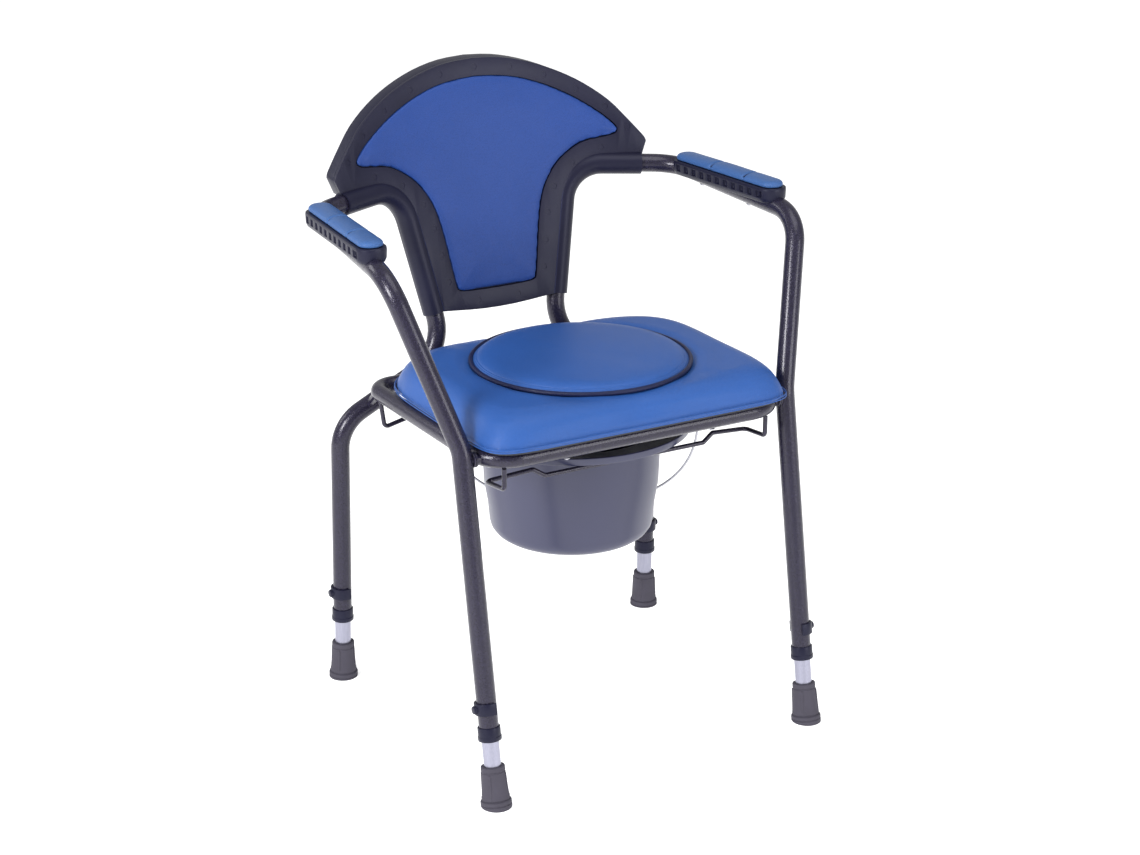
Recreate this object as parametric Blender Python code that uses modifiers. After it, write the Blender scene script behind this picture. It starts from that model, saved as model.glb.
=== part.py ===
"""Commode chair: two bent side tubes, a tube seat frame, a moulded backrest, an upholstered seat
with a lift-out plug, a bucket carried on two wires, padded armrests and four telescopic legs.

Metres, +Z up, the sitter looks along -Y. The origin is on the floor, under the middle of the chair.
"""

import math

import bmesh
import bpy
from mathutils import Matrix, Vector

# ---- driving dimensions ------------------------------------------------------------------------
GAP = 0.0003                # left between pieces that touch
TUBE_RADIUS = 0.0125        # side tubes
TUBE_WALL = 0.0012
TUBE_SIDES = 14
RAIL_RADIUS = 0.011         # seat frame tube
RAIL_WALL = 0.0015
WELD_GAP = 0.0005

SEAT_HALF_WIDTH = 0.210     # seat frame, to the middle of its side rails
SEAT_FRONT_Y = -0.197
SEAT_REAR_Y = 0.126
SEAT_REAR_SPREAD = 0.0025   # the side rails part a little towards the back
SEAT_RAIL_HEIGHT = 0.430
SEAT_CORNER_RADII = (0.045, 0.028)   # front, rear

FRONT_FOOT_Y = -0.245
REAR_FOOT_Y = 0.183
LEG_X = SEAT_HALF_WIDTH + RAIL_RADIUS + TUBE_RADIUS + WELD_GAP
KINK = Vector((LEG_X, -0.1695, SEAT_RAIL_HEIGHT + 0.0116))
ARM_FRONT = Vector((LEG_X + 0.0595, -0.100, 0.648))
ARM_REAR = Vector((LEG_X + 0.037, 0.157, 0.664))
WING_BEND_X, WING_BEND_Z = 0.1266, 0.671
WAIST_BEND_X, WAIST_BEND_Z = 0.083, 0.447
REAR_BEND = Vector((LEG_X + 0.0045, 0.1734, SEAT_RAIL_HEIGHT - 0.062))

# backrest face: y = BACK_Y + BACK_LEAN * (z - BACK_MID_Z) - x^2 / (2 * BACK_CURVE_RADIUS)
BACK_Y, BACK_MID_Z = 0.1914, 0.600
BACK_LEAN = 0.2056
BACK_CURVE_RADIUS = 0.735
TUBE_BEHIND_FACE = 0.0144
FACE_FRAME_THICK = 0.0055
SHELL_DEPTH = 0.0277
SHELL_WALL = 0.003
SLEEVE_WALL = 0.0022
SLEEVE_BOTTOM_Z = 0.500
SLEEVE_END_X = 0.2235
PAD_THICK = 0.015
PAD_PROUD = 0.003

CUSHION_HALF_WIDTH = 0.2195
CUSHION_FRONT_Y = -0.2245
CUSHION_REAR_Y = 0.121
CUSHION_TOP_Z = 0.483
BOARD_THICK = 0.012
BOARD_INSET = 0.008
PLUG_Y = -0.050
PLUG_RADIUS = 0.1405        # overhanging rim
PLUG_NECK_RADIUS = 0.130
PLUG_HOLE_CLEARANCE = 0.0025
PLUG_RISE = 0.013
PIPING_RADIUS = 0.0028

BUCKET_Y = -0.025
BUCKET_TURN = math.radians(-31)
FLANGE_RADIUS = 0.158
FLANGE_BOTTOM_Z = 0.3893
FLANGE_THICK = 0.003
BUCKET_TOP_RADIUS = 0.118
BUCKET_BOTTOM_RADIUS = 0.1075
BUCKET_BELLY = 0.0015       # how far the wall bows out halfway down
BUCKET_DEPTH = 0.1475
BUCKET_WALL = 0.0025
WIRE_RADIUS = 0.003
BAIL_RADIUS = 0.0018
BAIL_HALF_WIDTH = 0.1615
BAIL_DROP = 0.198
BAIL_ROUNDNESS = 2.4
BAIL_TILT = math.radians(35)

ARM_BASE_LENGTH, ARM_BASE_WIDTH = 0.216, 0.0395
ARM_BASE_BOTTOM, ARM_BASE_TOP = 0.655, 0.6745
ARM_PAD_INSET = 0.004
ARM_PAD_THICK = 0.009
ARM_MIDDLE_Y = 0.042

INNER_RADIUS = 0.0108       # telescopic aluminium tube
INNER_WALL = 0.0015
COLLAR_HEIGHT, COLLAR_RADIUS = 0.018, 0.0143
COLLAR_BOTTOM = 0.085       # along the leg, above the floor
CLIP_ABOVE_COLLAR = 0.042
CLIP_HEIGHT, CLIP_WALL = 0.015, 0.003
PIN_RADIUS = 0.0033
HOLE_PITCH = 0.025
HOLES_UP, HOLES_DOWN = 4, 1
FOOT_HEIGHT, FOOT_TOP_RADIUS, FOOT_BASE_RADIUS = 0.052, 0.0152, 0.0195

SCREW_RADIUS, SCREW_HEAD_RADIUS, SCREW_HEAD = 0.0021, 0.0042, 0.0022

SIDES = (("left", 1), ("right", -1))   # the sitter's left is +X

# ---- materials -----------------------------------------------------------------------------------
FINISHES = {
    "hammered_paint": ((0.035, 0.033, 0.045), 0.35, 0.6),
    "black_plastic": ((0.020, 0.020, 0.032), 0.45, 0.0),
    "blue_vinyl": ((0.045, 0.145, 0.45), 0.42, 0.0),
    "seat_board": ((0.03, 0.03, 0.035), 0.6, 0.0),
    "bucket_plastic": ((0.115, 0.115, 0.19), 0.40, 0.0),
    "aluminium": ((0.60, 0.60, 0.66), 0.30, 1.0),
    "foot_rubber": ((0.105, 0.098, 0.115), 0.75, 0.0),
    "bright_steel": ((0.62, 0.62, 0.64), 0.22, 1.0),
}


def material(name):
    found = bpy.data.materials.get(name)
    if found:
        return found
    colour, roughness, metallic = FINISHES[name]
    made = bpy.data.materials.new(name)
    made.use_nodes = True
    shader = made.node_tree.nodes["Principled BSDF"]
    shader.inputs["Base Color"].default_value = (*colour, 1)
    shader.inputs["Roughness"].default_value = roughness
    shader.inputs["Metallic"].default_value = metallic
    return made


# ---- building helpers ----------------------------------------------------------------------------
def clear_scene():
    for obj in list(bpy.data.objects):
        bpy.data.objects.remove(obj, do_unlink=True)


def collection(name):
    made = bpy.data.collections.new(name)
    bpy.context.scene.collection.children.link(made)
    return made


def finish(name, mesh, finish_name, place=None):
    """A part: its mesh with its material, smooth where it is round, at its place."""
    mesh.name = name
    obj = bpy.data.objects.new(name, mesh)
    PARTS.objects.link(obj)
    mesh.materials.clear()
    mesh.materials.append(material(finish_name))
    mesh.shade_smooth()
    mesh.set_sharp_from_angle(angle=math.radians(35))
    if place is not None:
        obj.matrix_world = place
    return obj


def as_cutter(name, mesh, place=None):
    obj = bpy.data.objects.new(name, mesh)
    CUTTERS.objects.link(obj)
    obj.hide_render = True
    obj.display_type = "WIRE"
    if place is not None:
        obj.matrix_world = place
    return obj


def boolean(obj, other, operation="DIFFERENCE"):
    step = obj.modifiers.new(operation.lower(), "BOOLEAN")
    step.operation = operation
    step.object = other
    step.solver = "EXACT"


def mesh_of(bm):
    mesh = bpy.data.meshes.new("mesh")
    bmesh.ops.recalc_face_normals(bm, faces=bm.faces)
    bm.to_mesh(mesh)
    bm.free()
    return mesh


def bent_path(corners, radii, bend_steps=4):
    """The corners of a bent tube with an arc of the given radius at each inner corner."""
    path = [corners[0].copy()]
    for before, corner, after, radius in zip(corners, corners[1:], corners[2:], radii):
        back, ahead = (before - corner).normalized(), (after - corner).normalized()
        half = back.angle(ahead) / 2
        reach = radius / math.tan(half)
        centre = corner + (back + ahead).normalized() * (radius / math.sin(half))
        first, last = corner + back * reach - centre, corner + ahead * reach - centre
        turn = first.rotation_difference(last)
        for step in range(bend_steps + 1):
            part = turn.copy()
            part.angle = turn.angle * step / bend_steps
            path.append(centre + part @ first)
    path.append(corners[-1].copy())
    return path


def curve_mesh(path, radius, sides, closed=False, caps=True):
    """A round tube's mesh along a path."""
    curve = bpy.data.curves.new("path", "CURVE")
    curve.dimensions = "3D"
    spline = curve.splines.new("POLY")
    spline.points.add(len(path) - 1)
    for point, place in zip(spline.points, path):
        point.co = (*place, 1)
    spline.use_cyclic_u = closed
    curve.bevel_depth = radius
    curve.bevel_resolution = (sides - 4) // 2
    curve.use_fill_caps = caps
    obj = bpy.data.objects.new("path", curve)
    bpy.context.scene.collection.objects.link(obj)
    bpy.context.view_layer.update()
    graph = bpy.context.evaluated_depsgraph_get()
    mesh = bpy.data.meshes.new_from_object(obj.evaluated_get(graph))
    bpy.data.objects.remove(obj, do_unlink=True)
    bpy.data.curves.remove(curve)
    bm = bmesh.new()
    bm.from_mesh(mesh)
    bmesh.ops.remove_doubles(bm, verts=bm.verts, dist=1e-6)
    if caps or closed:
        bmesh.ops.recalc_face_normals(bm, faces=bm.faces)
    bm.to_mesh(mesh)
    bm.free()
    return mesh


def rod_mesh(start, end, radius, sides=12, end_radius=None):
    """A straight rod or cone from start to end."""
    start, end = Vector(start), Vector(end)
    length = (end - start).length
    bm = bmesh.new()
    bmesh.ops.create_cone(
        bm, cap_ends=True, segments=sides, radius1=radius,
        radius2=radius if end_radius is None else end_radius, depth=length,
    )
    turn = (end - start).to_track_quat("Z", "Y").to_matrix().to_4x4()
    bmesh.ops.transform(bm, matrix=Matrix.Translation((start + end) / 2) @ turn, verts=bm.verts)
    return mesh_of(bm)


def box_mesh(low, high):
    low, high = Vector(low), Vector(high)
    bm = bmesh.new()
    bmesh.ops.create_cube(bm, size=1)
    bmesh.ops.scale(bm, vec=high - low, verts=bm.verts)
    bmesh.ops.translate(bm, vec=(low + high) / 2, verts=bm.verts)
    return mesh_of(bm)


def plate_mesh(outline, bottom, top, edge=0.0, steps=2):
    """A flat outline in X and Y made solid between two heights, its upper edge rounded."""
    bm = bmesh.new()
    face = bm.faces.new([bm.verts.new((x, y, bottom)) for x, y in outline])
    grown = bmesh.ops.extrude_face_region(bm, geom=[face])["geom"]
    bmesh.ops.translate(
        bm, vec=(0, 0, top - bottom), verts=[v for v in grown if isinstance(v, bmesh.types.BMVert)]
    )
    if edge:
        rim = [e for e in bm.edges if all(abs(v.co.z - top) < 1e-6 for v in e.verts)]
        bmesh.ops.bevel(
            bm, geom=rim, offset=edge, segments=steps, profile=0.5, affect="EDGES", material=-1
        )
    return mesh_of(bm)


def turned_mesh(profile, sides):
    """A turned solid: the profile's points (radius, height) run down its outer side."""
    bm = bmesh.new()
    ring = [bm.verts.new((radius, 0, height)) for radius, height in profile]
    edges = [bm.edges.new(pair) for pair in zip(ring, ring[1:])]
    if profile[0][0] > 0:
        edges.append(bm.edges.new((ring[-1], ring[0])))
    bmesh.ops.spin(
        bm, geom=ring + edges, cent=(0, 0, 0), axis=(0, 0, 1),
        angle=2 * math.pi, steps=sides, use_merge=True,
    )
    bmesh.ops.remove_doubles(bm, verts=bm.verts, dist=1e-6)
    return mesh_of(bm)


def rounded_outline(half_x, low_y, high_y, power=4.0, points=40, rear_power=None):
    """A closed outline between straight and round, as a superellipse; the rear half may differ."""
    middle, half_y = (low_y + high_y) / 2, (high_y - low_y) / 2
    outline = []
    for step in range(points):
        angle = 2 * math.pi * (step + 0.5) / points
        c, s = math.cos(angle), math.sin(angle)
        n = rear_power if (rear_power and s > 0) else power
        x = half_x * math.copysign(abs(c) ** (2 / n), c)
        y = middle + half_y * math.copysign(abs(s) ** (2 / n), s)
        outline.append((x, y))
    return outline


def screw(name, seat, tip, finish_name="bright_steel"):
    """A pan-head screw: the head's underside at seat, the shank to tip."""
    seat, tip = Vector(seat), Vector(tip)
    down = (tip - seat).normalized()
    length = (tip - seat).length
    profile = [
        (0, SCREW_HEAD), (SCREW_HEAD_RADIUS * 0.6, SCREW_HEAD), (SCREW_HEAD_RADIUS, SCREW_HEAD * 0.4),
        (SCREW_HEAD_RADIUS, 0), (SCREW_RADIUS, 0), (SCREW_RADIUS, -length), (0, -length),
    ]
    turn = (-down).to_track_quat("Z", "Y").to_matrix().to_4x4()
    return finish(name, turned_mesh(profile, 8), finish_name, Matrix.Translation(seat) @ turn)


def mirrored(point, side):
    return Vector((point[0] * side, point[1], point[2]))


# ---- where things are ----------------------------------------------------------------------------
def back_face(x, z):
    """How far back the backrest's front face is."""
    return BACK_Y + BACK_LEAN * (z - BACK_MID_Z) - x * x / (2 * BACK_CURVE_RADIUS)


def back_tube_point(x, z, extra=0.0):
    return Vector((x, back_face(x, z) + TUBE_BEHIND_FACE + extra, z))


def wing_bend():
    return back_tube_point(WING_BEND_X, WING_BEND_Z, 0.004)


def waist_bend():
    return back_tube_point(WAIST_BEND_X, WAIST_BEND_Z)


FRONT_FOOT = Vector((LEG_X - 0.0016, FRONT_FOOT_Y, 0))
REAR_FOOT = Vector((LEG_X + 0.0079, REAR_FOOT_Y, 0))
LEGS = {
    # name: (foot, the point its straight run aims at)
    "front": (FRONT_FOOT, KINK),
    "rear": (REAR_FOOT, REAR_BEND),
}


def leg_frame(which, side):
    """The leg's own frame: its origin on the floor, its Z up the leg."""
    foot, aim = (mirrored(p, side) for p in LEGS[which])
    up = (aim - foot).normalized()
    across = Vector((1, 0, 0)) - up * up.x
    across.normalize()
    turn = Matrix((across, up.cross(across), up)).transposed().to_4x4()
    return Matrix.Translation(foot) @ turn


def side_corners(side):
    front_up = (KINK - FRONT_FOOT).normalized()
    rear_up = (REAR_BEND - REAR_FOOT).normalized()
    corners = [
        FRONT_FOOT + front_up * (COLLAR_BOTTOM + SHELL_WALL),
        KINK, ARM_FRONT, ARM_REAR,
        wing_bend(), waist_bend(), REAR_BEND,
        REAR_FOOT + rear_up * (COLLAR_BOTTOM + SHELL_WALL),
    ]
    return [mirrored(corner, side) for corner in corners]


SIDE_BENDS = (0.060, 0.054, 0.055, 0.052, 0.066, 0.055)


def side_path(side):
    return bent_path(side_corners(side), SIDE_BENDS)


def sleeve_path(side):
    """The stretch of the side tube that the backrest's channel covers."""
    wing_end = wing_bend()
    out = (ARM_REAR - wing_end).normalized()
    start = wing_end + out * ((SLEEVE_END_X - wing_end.x) / out.x)
    waist = waist_bend()
    down = (waist - wing_end).normalized()
    end = wing_end + down * ((SLEEVE_BOTTOM_Z - wing_end.z) / down.z)
    corners = [mirrored(p, side) for p in (start, wing_end, end)]
    return bent_path(corners, (SIDE_BENDS[3],))


# ---- frame ---------------------------------------------------------------------------------------
def arm_line(y):
    """The armrest's middle line in plan."""
    rate = (ARM_FRONT.x - ARM_REAR.x) / (ARM_FRONT.y - ARM_REAR.y)
    return ARM_FRONT.x + rate * (y - ARM_FRONT.y)


def arm_tube_height(y):
    rate = (ARM_FRONT.z - ARM_REAR.z) / (ARM_FRONT.y - ARM_REAR.y)
    return ARM_FRONT.z + rate * (y - ARM_FRONT.y)


ARM_SCREW_YS = (ARM_MIDDLE_Y - 0.045, ARM_MIDDLE_Y + 0.055)
PIN_HEIGHT = COLLAR_BOTTOM + CLIP_ABOVE_COLLAR


def side_tubes():
    for name, side in SIDES:
        mesh = curve_mesh(side_path(side), TUBE_RADIUS, TUBE_SIDES, caps=False)
        tube = finish(f"side_tube_{name}", mesh, "hammered_paint")
        wall = tube.modifiers.new("wall", "SOLIDIFY")
        wall.thickness = TUBE_WALL
        wall.offset = -1
        wall.use_rim = True
        for which in LEGS:
            across = TUBE_RADIUS * 2
            hole = rod_mesh((-across, 0, PIN_HEIGHT), (across, 0, PIN_HEIGHT), PIN_RADIUS + GAP, 8)
            boolean(tube, as_cutter(f"pin_hole_{which}_{name}", hole, leg_frame(which, side)))
        for number, y in enumerate(ARM_SCREW_YS):
            x, z = arm_line(y) * side, arm_tube_height(y)
            hole = rod_mesh((x, y, z - 0.03), (x, y, z + 0.03), SCREW_RADIUS + GAP, 8)
            boolean(tube, as_cutter(f"arm_screw_hole_{name}_{number}", hole))


def rail_path():
    x, low, high, z = SEAT_HALF_WIDTH, SEAT_FRONT_Y, SEAT_REAR_Y, SEAT_RAIL_HEIGHT
    wide = x + SEAT_REAR_SPREAD
    corners = ((0, low, z), (x, low, z), (wide, high, z), (-wide, high, z), (-x, low, z), (0, low, z))
    front, rear = SEAT_CORNER_RADII
    return bent_path([Vector(p) for p in corners], (front, rear, rear, front), 4)[:-1]


def seat_frame():
    path, z = rail_path(), SEAT_RAIL_HEIGHT
    frame = finish("seat_frame", curve_mesh(path, RAIL_RADIUS, 12, closed=True), "hammered_paint")
    inside = curve_mesh(path, RAIL_RADIUS - RAIL_WALL, 12, closed=True)
    boolean(frame, as_cutter("seat_frame_inside", inside))
    for number, (sx, sy) in enumerate(SEAT_SCREWS):
        hole = rod_mesh((sx, sy, z - 0.03), (sx, sy, z + 0.03), SCREW_RADIUS + GAP, 8)
        boolean(frame, as_cutter(f"seat_screw_hole_{number}", hole))


SEAT_SCREWS = [
    (SEAT_HALF_WIDTH * 0.5, SEAT_FRONT_Y), (-SEAT_HALF_WIDTH * 0.5, SEAT_FRONT_Y),
    (SEAT_HALF_WIDTH - 0.0065, SEAT_REAR_Y - 0.127), (-SEAT_HALF_WIDTH + 0.0065, SEAT_REAR_Y - 0.127),
]


def frame_welds():
    """Weld fillets between the side tubes and the seat frame."""
    rear_axis = waist_bend(), REAR_BEND
    for name, side in SIDES:
        inflated = curve_mesh(side_path(side), TUBE_RADIUS + GAP, TUBE_SIDES)
        tube_cutter = as_cutter(f"side_tube_space_{name}", inflated)
        rail_cutter = curve_mesh(rail_path(), RAIL_RADIUS + GAP, 12, closed=True)
        rail_cutter = as_cutter(f"rail_space_{name}", rail_cutter)
        z = SEAT_RAIL_HEIGHT
        leg_y = KINK.y - (KINK.z - z) * (KINK.y - FRONT_FOOT.y) / KINK.z
        bead = rod_mesh(
            mirrored((SEAT_HALF_WIDTH - 0.004, leg_y - 0.003, z), side),
            mirrored((LEG_X, leg_y, z), side), 0.0065, 10,
        )
        weld = finish(f"front_weld_{name}", bead, "hammered_paint")
        boolean(weld, tube_cutter)
        boolean(weld, rail_cutter)

        # a short tab from the frame's rear corner down to the sloping tube
        along = (SEAT_HALF_WIDTH - 0.013 - rear_axis[0].x) / (rear_axis[1].x - rear_axis[0].x)
        on_tube = rear_axis[0].lerp(rear_axis[1], along)
        corner = Vector((SEAT_HALF_WIDTH - 0.008, SEAT_REAR_Y - 0.008, z))
        tab = rod_mesh(mirrored(corner, side), mirrored(on_tube, side), 0.0055, 10)
        lug = finish(f"rear_lug_{name}", tab, "hammered_paint")
        boolean(lug, tube_cutter)
        boolean(lug, rail_cutter)


# ---- bucket wires --------------------------------------------------------------------------------
WIRE_LOW_Z = FLANGE_BOTTOM_Z - GAP - WIRE_RADIUS
FRONT_WIRE_Y = BUCKET_Y - 0.137
REAR_WIRE_Y = BUCKET_Y + 0.134


def wire_halves(points):
    """The right half's corners, and the same mirrored, as one path from end to end."""
    left = [mirrored(p, -1) for p in reversed(points)]
    return [Vector(p) for p in points] + left


def bucket_wires():
    under_rail = SEAT_RAIL_HEIGHT - RAIL_RADIUS - WELD_GAP
    step_x, ramp_x, hook_x = 0.1155, 0.131, 0.190
    high = WIRE_LOW_Z + 0.0095
    front_end_y = SEAT_FRONT_Y + 0.004
    front = wire_halves([
        (hook_x - 0.001, front_end_y, under_rail), (hook_x - 0.001, front_end_y, WIRE_LOW_Z + 0.006),
        (hook_x, front_end_y + 0.046, WIRE_LOW_Z + 0.001), (ramp_x, FRONT_WIRE_Y + 0.003, high),
        (step_x, FRONT_WIRE_Y, WIRE_LOW_Z),
    ])
    rear_x, rear_end_y = SEAT_HALF_WIDTH + 0.001, SEAT_REAR_Y - 0.022
    rear = wire_halves([
        (rear_x, rear_end_y, under_rail), (rear_x - 0.004, rear_end_y - 0.002, WIRE_LOW_Z - 0.004),
        (ramp_x, REAR_WIRE_Y, high), (step_x, REAR_WIRE_Y, WIRE_LOW_Z),
    ])
    for name, corners in (("front", front), ("rear", rear)):
        path = bent_path(corners, [0.006] * (len(corners) - 2), 2)
        finish(f"bucket_wire_{name}", curve_mesh(path, WIRE_RADIUS, 8), "hammered_paint")


# ---- backrest ------------------------------------------------------------------------------------
PAD_EDGE = [
    # half of the pad's outline, x and z, from the top middle round to the bottom middle
    (0.000, 0.7995), (0.035, 0.7970), (0.067, 0.7912), (0.100, 0.7800), (0.130, 0.7660),
    (0.155, 0.7510), (0.176, 0.7360), (0.190, 0.7235), (0.1955, 0.7155), (0.1925, 0.7090),
    (0.180, 0.7058), (0.150, 0.7015), (0.130, 0.6930), (0.110, 0.6790), (0.095, 0.6620),
    (0.084, 0.6430), (0.077, 0.6220), (0.0715, 0.5960), (0.066, 0.5620), (0.0605, 0.5310),
    (0.0575, 0.5265), (0.052, 0.5245), (0.028, 0.5228),
]
FRAME_TOP = [
    # half of the face frame's upper outline, from the top middle to the wing's tip
    (0.000, 0.8225), (0.040, 0.8198), (0.080, 0.8110), (0.120, 0.7962), (0.155, 0.7775),
    (0.187, 0.7535), (0.210, 0.7278), (0.224, 0.7108), (0.2308, 0.7018), (0.2325, 0.6965),
]
SEAM_IN = 0.0092            # from the middle of the tube to the seam beside it
BACK_BOTTOM_MID_Z = 0.4965


def seam_points():
    """Half of the seam between face frame and channel, from the wing's tip down to the bottom."""
    path = sleeve_path(1)
    points = []
    for here, ahead in zip(path, path[1:]):
        along = Vector((ahead.x - here.x, ahead.z - here.z)).normalized()
        inward = Vector((along.y, -along.x))
        if inward.y < 0 and inward.x > 0:
            inward = -inward
        points.append((here.x + inward.x * SEAM_IN, here.z + inward.y * SEAM_IN))
    last = path[-1]
    points.append((last.x - SEAM_IN, last.z + 0.003))
    return points


def closed_outline(half):
    """The whole outline from its half, which starts and ends on the middle line."""
    left = [(-x, z) for x, z in reversed(half) if x > 1e-9]
    return list(half) + left


def face_frame_outline():
    return closed_outline(FRAME_TOP + seam_points() + [(0.045, 0.4987), (0.0, BACK_BOTTOM_MID_Z)])


def curved_plate(outline, front, thick, hole=None):
    """A plate that follows the backrest's face, from front to front + thick behind it."""
    curve = bpy.data.curves.new("outline", "CURVE")
    curve.dimensions = "2D"
    curve.fill_mode = "BOTH"
    for loop in [outline] + ([hole] if hole else []):
        spline = curve.splines.new("POLY")
        spline.points.add(len(loop) - 1)
        for point, (x, z) in zip(spline.points, loop):
            point.co = (x, z, 0, 1)
        spline.use_cyclic_u = True
    obj = bpy.data.objects.new("outline", curve)
    bpy.context.scene.collection.objects.link(obj)
    bpy.context.view_layer.update()
    graph = bpy.context.evaluated_depsgraph_get()
    mesh = bpy.data.meshes.new_from_object(obj.evaluated_get(graph))
    bpy.data.objects.remove(obj, do_unlink=True)
    bpy.data.curves.remove(curve)
    bm = bmesh.new()
    bm.from_mesh(mesh)
    bmesh.ops.remove_doubles(bm, verts=bm.verts, dist=1e-6)
    bmesh.ops.dissolve_limit(bm, angle_limit=0.01, verts=bm.verts, edges=bm.edges)
    for step in range(-5, 6):
        bmesh.ops.bisect_plane(
            bm, geom=bm.verts[:] + bm.edges[:] + bm.faces[:],
            plane_co=(step * 0.038, 0, 0), plane_no=(1, 0, 0), dist=1e-5,
        )
    for vert in bm.verts:
        x, z = vert.co.x, vert.co.y
        vert.co = (x, back_face(x, z) + front, z)
    grown = bmesh.ops.extrude_face_region(bm, geom=bm.faces[:])["geom"]
    moved = [v for v in grown if isinstance(v, bmesh.types.BMVert)]
    bmesh.ops.translate(bm, vec=(0, thick, 0), verts=moved)
    bmesh.ops.triangulate(bm, faces=[f for f in bm.faces if len(f.verts) > 4])
    return mesh_of(bm)


def shrunk(outline, inset):
    """An outline moved inwards by inset, each point along the mean of its two edges' normals."""
    made = []
    count = len(outline)
    area = sum(
        outline[i][0] * outline[(i + 1) % count][1] - outline[(i + 1) % count][0] * outline[i][1]
        for i in range(count)
    )
    turn = 1 if area > 0 else -1
    for i, (x, z) in enumerate(outline):
        before, after = outline[i - 1], outline[(i + 1) % count]
        first = Vector((x - before[0], z - before[1])).normalized()
        second = Vector((after[0] - x, after[1] - z)).normalized()
        normal = Vector((-(first.y + second.y), first.x + second.x)) * turn
        if normal.length < 1e-6:
            normal = Vector((-first.y, first.x)) * turn
        normal.normalize()
        made.append((x + normal.x * inset, z + normal.y * inset))
    return made


def backrest():
    frame_edge = face_frame_outline()
    pad_edge = closed_outline(PAD_EDGE)
    face_frame = finish(
        "backrest_face_frame",
        curved_plate(frame_edge, 0, FACE_FRAME_THICK, shrunk(pad_edge, -GAP * 2)), "black_plastic",
    )
    for name, side in SIDES:
        channel = curve_mesh(side_path(side), TUBE_RADIUS + SLEEVE_WALL + GAP * 2, TUBE_SIDES)
        boolean(face_frame, as_cutter(f"channel_space_{name}", channel))
    pad_depth = PAD_PROUD + PAD_THICK
    finish("backrest_pad", curved_plate(pad_edge, -PAD_PROUD, pad_depth), "blue_vinyl")

    tray_front = FACE_FRAME_THICK + GAP
    shell = finish(
        "backrest_rear_shell", curved_plate(frame_edge, tray_front, SHELL_DEPTH - tray_front), "black_plastic"
    )
    for name, side in SIDES:
        sleeve = curve_mesh(sleeve_path(side), TUBE_RADIUS + GAP + SLEEVE_WALL, 14)
        boolean(shell, as_cutter(f"sleeve_{name}", sleeve), "UNION")
    hollow_edge = shrunk(frame_edge, SHELL_WALL + 0.004)
    hollow = curved_plate(hollow_edge, tray_front - 0.01, SHELL_DEPTH - tray_front - SHELL_WALL + 0.01)
    boolean(shell, as_cutter("shell_hollow", hollow))
    face_space = curved_plate(shrunk(frame_edge, -GAP), -0.02, 0.02 + FACE_FRAME_THICK + GAP * 0.5)
    boolean(shell, as_cutter("face_frame_space", face_space))
    for name, side in SIDES:
        inside = curve_mesh(side_path(side), TUBE_RADIUS + GAP, TUBE_SIDES)
        boolean(shell, as_cutter(f"sleeve_inside_{name}", inside))
    pad = bpy.data.objects["backrest_pad"]
    for number, (x, z) in enumerate(BACK_SCREWS):
        face = Vector((x, back_face(x, z), z))
        rearward = Vector((x / BACK_CURVE_RADIUS, 1, -BACK_LEAN)).normalized()
        deep = SHELL_DEPTH * rearward.y
        boss = rod_mesh(
            face + rearward * (PAD_THICK * rearward.y + GAP * 2), face + rearward * (deep - 0.001), 0.006, 10
        )
        boolean(shell, as_cutter(f"pad_boss_{number}", boss), "UNION")
        tip, head = face + rearward * 0.004, face + rearward * (deep + GAP)
        hole = rod_mesh(tip - rearward * GAP, head + rearward * 0.01, SCREW_RADIUS + GAP, 8)
        hole = as_cutter(f"back_screw_hole_{number}", hole)
        boolean(shell, hole)
        boolean(pad, hole)
        screw(f"back_screw_{number + 1}", head, tip, "black_plastic")


BACK_SCREWS = [(0.105, 0.745), (-0.105, 0.745), (0.040, 0.560), (-0.040, 0.560)]


# ---- seat ----------------------------------------------------------------------------------------
CUSHION_BOTTOM_Z = SEAT_RAIL_HEIGHT + RAIL_RADIUS + 0.0015
BOARD_BOTTOM_Z = SEAT_RAIL_HEIGHT + RAIL_RADIUS + GAP
BOARD_TOP_Z = BOARD_BOTTOM_Z + BOARD_THICK
HOLE_RADIUS = PLUG_NECK_RADIUS + PLUG_HOLE_CLEARANCE
LEDGE = 0.012


def disc_hole(radius, low, high, sides=36):
    return rod_mesh((0, PLUG_Y, low), (0, PLUG_Y, high), radius, sides)


def seat_outline(inset=0.0):
    return rounded_outline(
        CUSHION_HALF_WIDTH - inset, CUSHION_FRONT_Y + inset, CUSHION_REAR_Y - inset, 10.0, 48, 4.2
    )


def seat():
    board = finish(
        "seat_board", plate_mesh(seat_outline(BOARD_INSET), BOARD_BOTTOM_Z, BOARD_TOP_Z), "seat_board"
    )
    boolean(board, as_cutter("board_hole", disc_hole(HOLE_RADIUS - LEDGE, 0.40, 0.50)))
    cushion = finish(
        "seat_cushion", plate_mesh(seat_outline(), CUSHION_BOTTOM_Z, CUSHION_TOP_Z, 0.020, 3), "blue_vinyl"
    )
    room = plate_mesh(seat_outline(BOARD_INSET - GAP), CUSHION_BOTTOM_Z - 0.02, BOARD_TOP_Z + GAP)
    boolean(cushion, as_cutter("board_room", room))
    boolean(cushion, as_cutter("cushion_hole", disc_hole(HOLE_RADIUS, 0.40, 0.55)))
    for number, (x, y) in enumerate(SEAT_SCREWS):
        hole = rod_mesh((x, y, BOARD_BOTTOM_Z - 0.01), (x, y, BOARD_BOTTOM_Z + 0.009), SCREW_RADIUS + GAP, 8)
        boolean(board, as_cutter(f"board_screw_hole_{number}", hole))
        seat_z = SEAT_RAIL_HEIGHT - RAIL_RADIUS - GAP
        screw(f"seat_screw_{number + 1}", (x, y, seat_z), (x, y, BOARD_BOTTOM_Z + 0.008))


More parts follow.
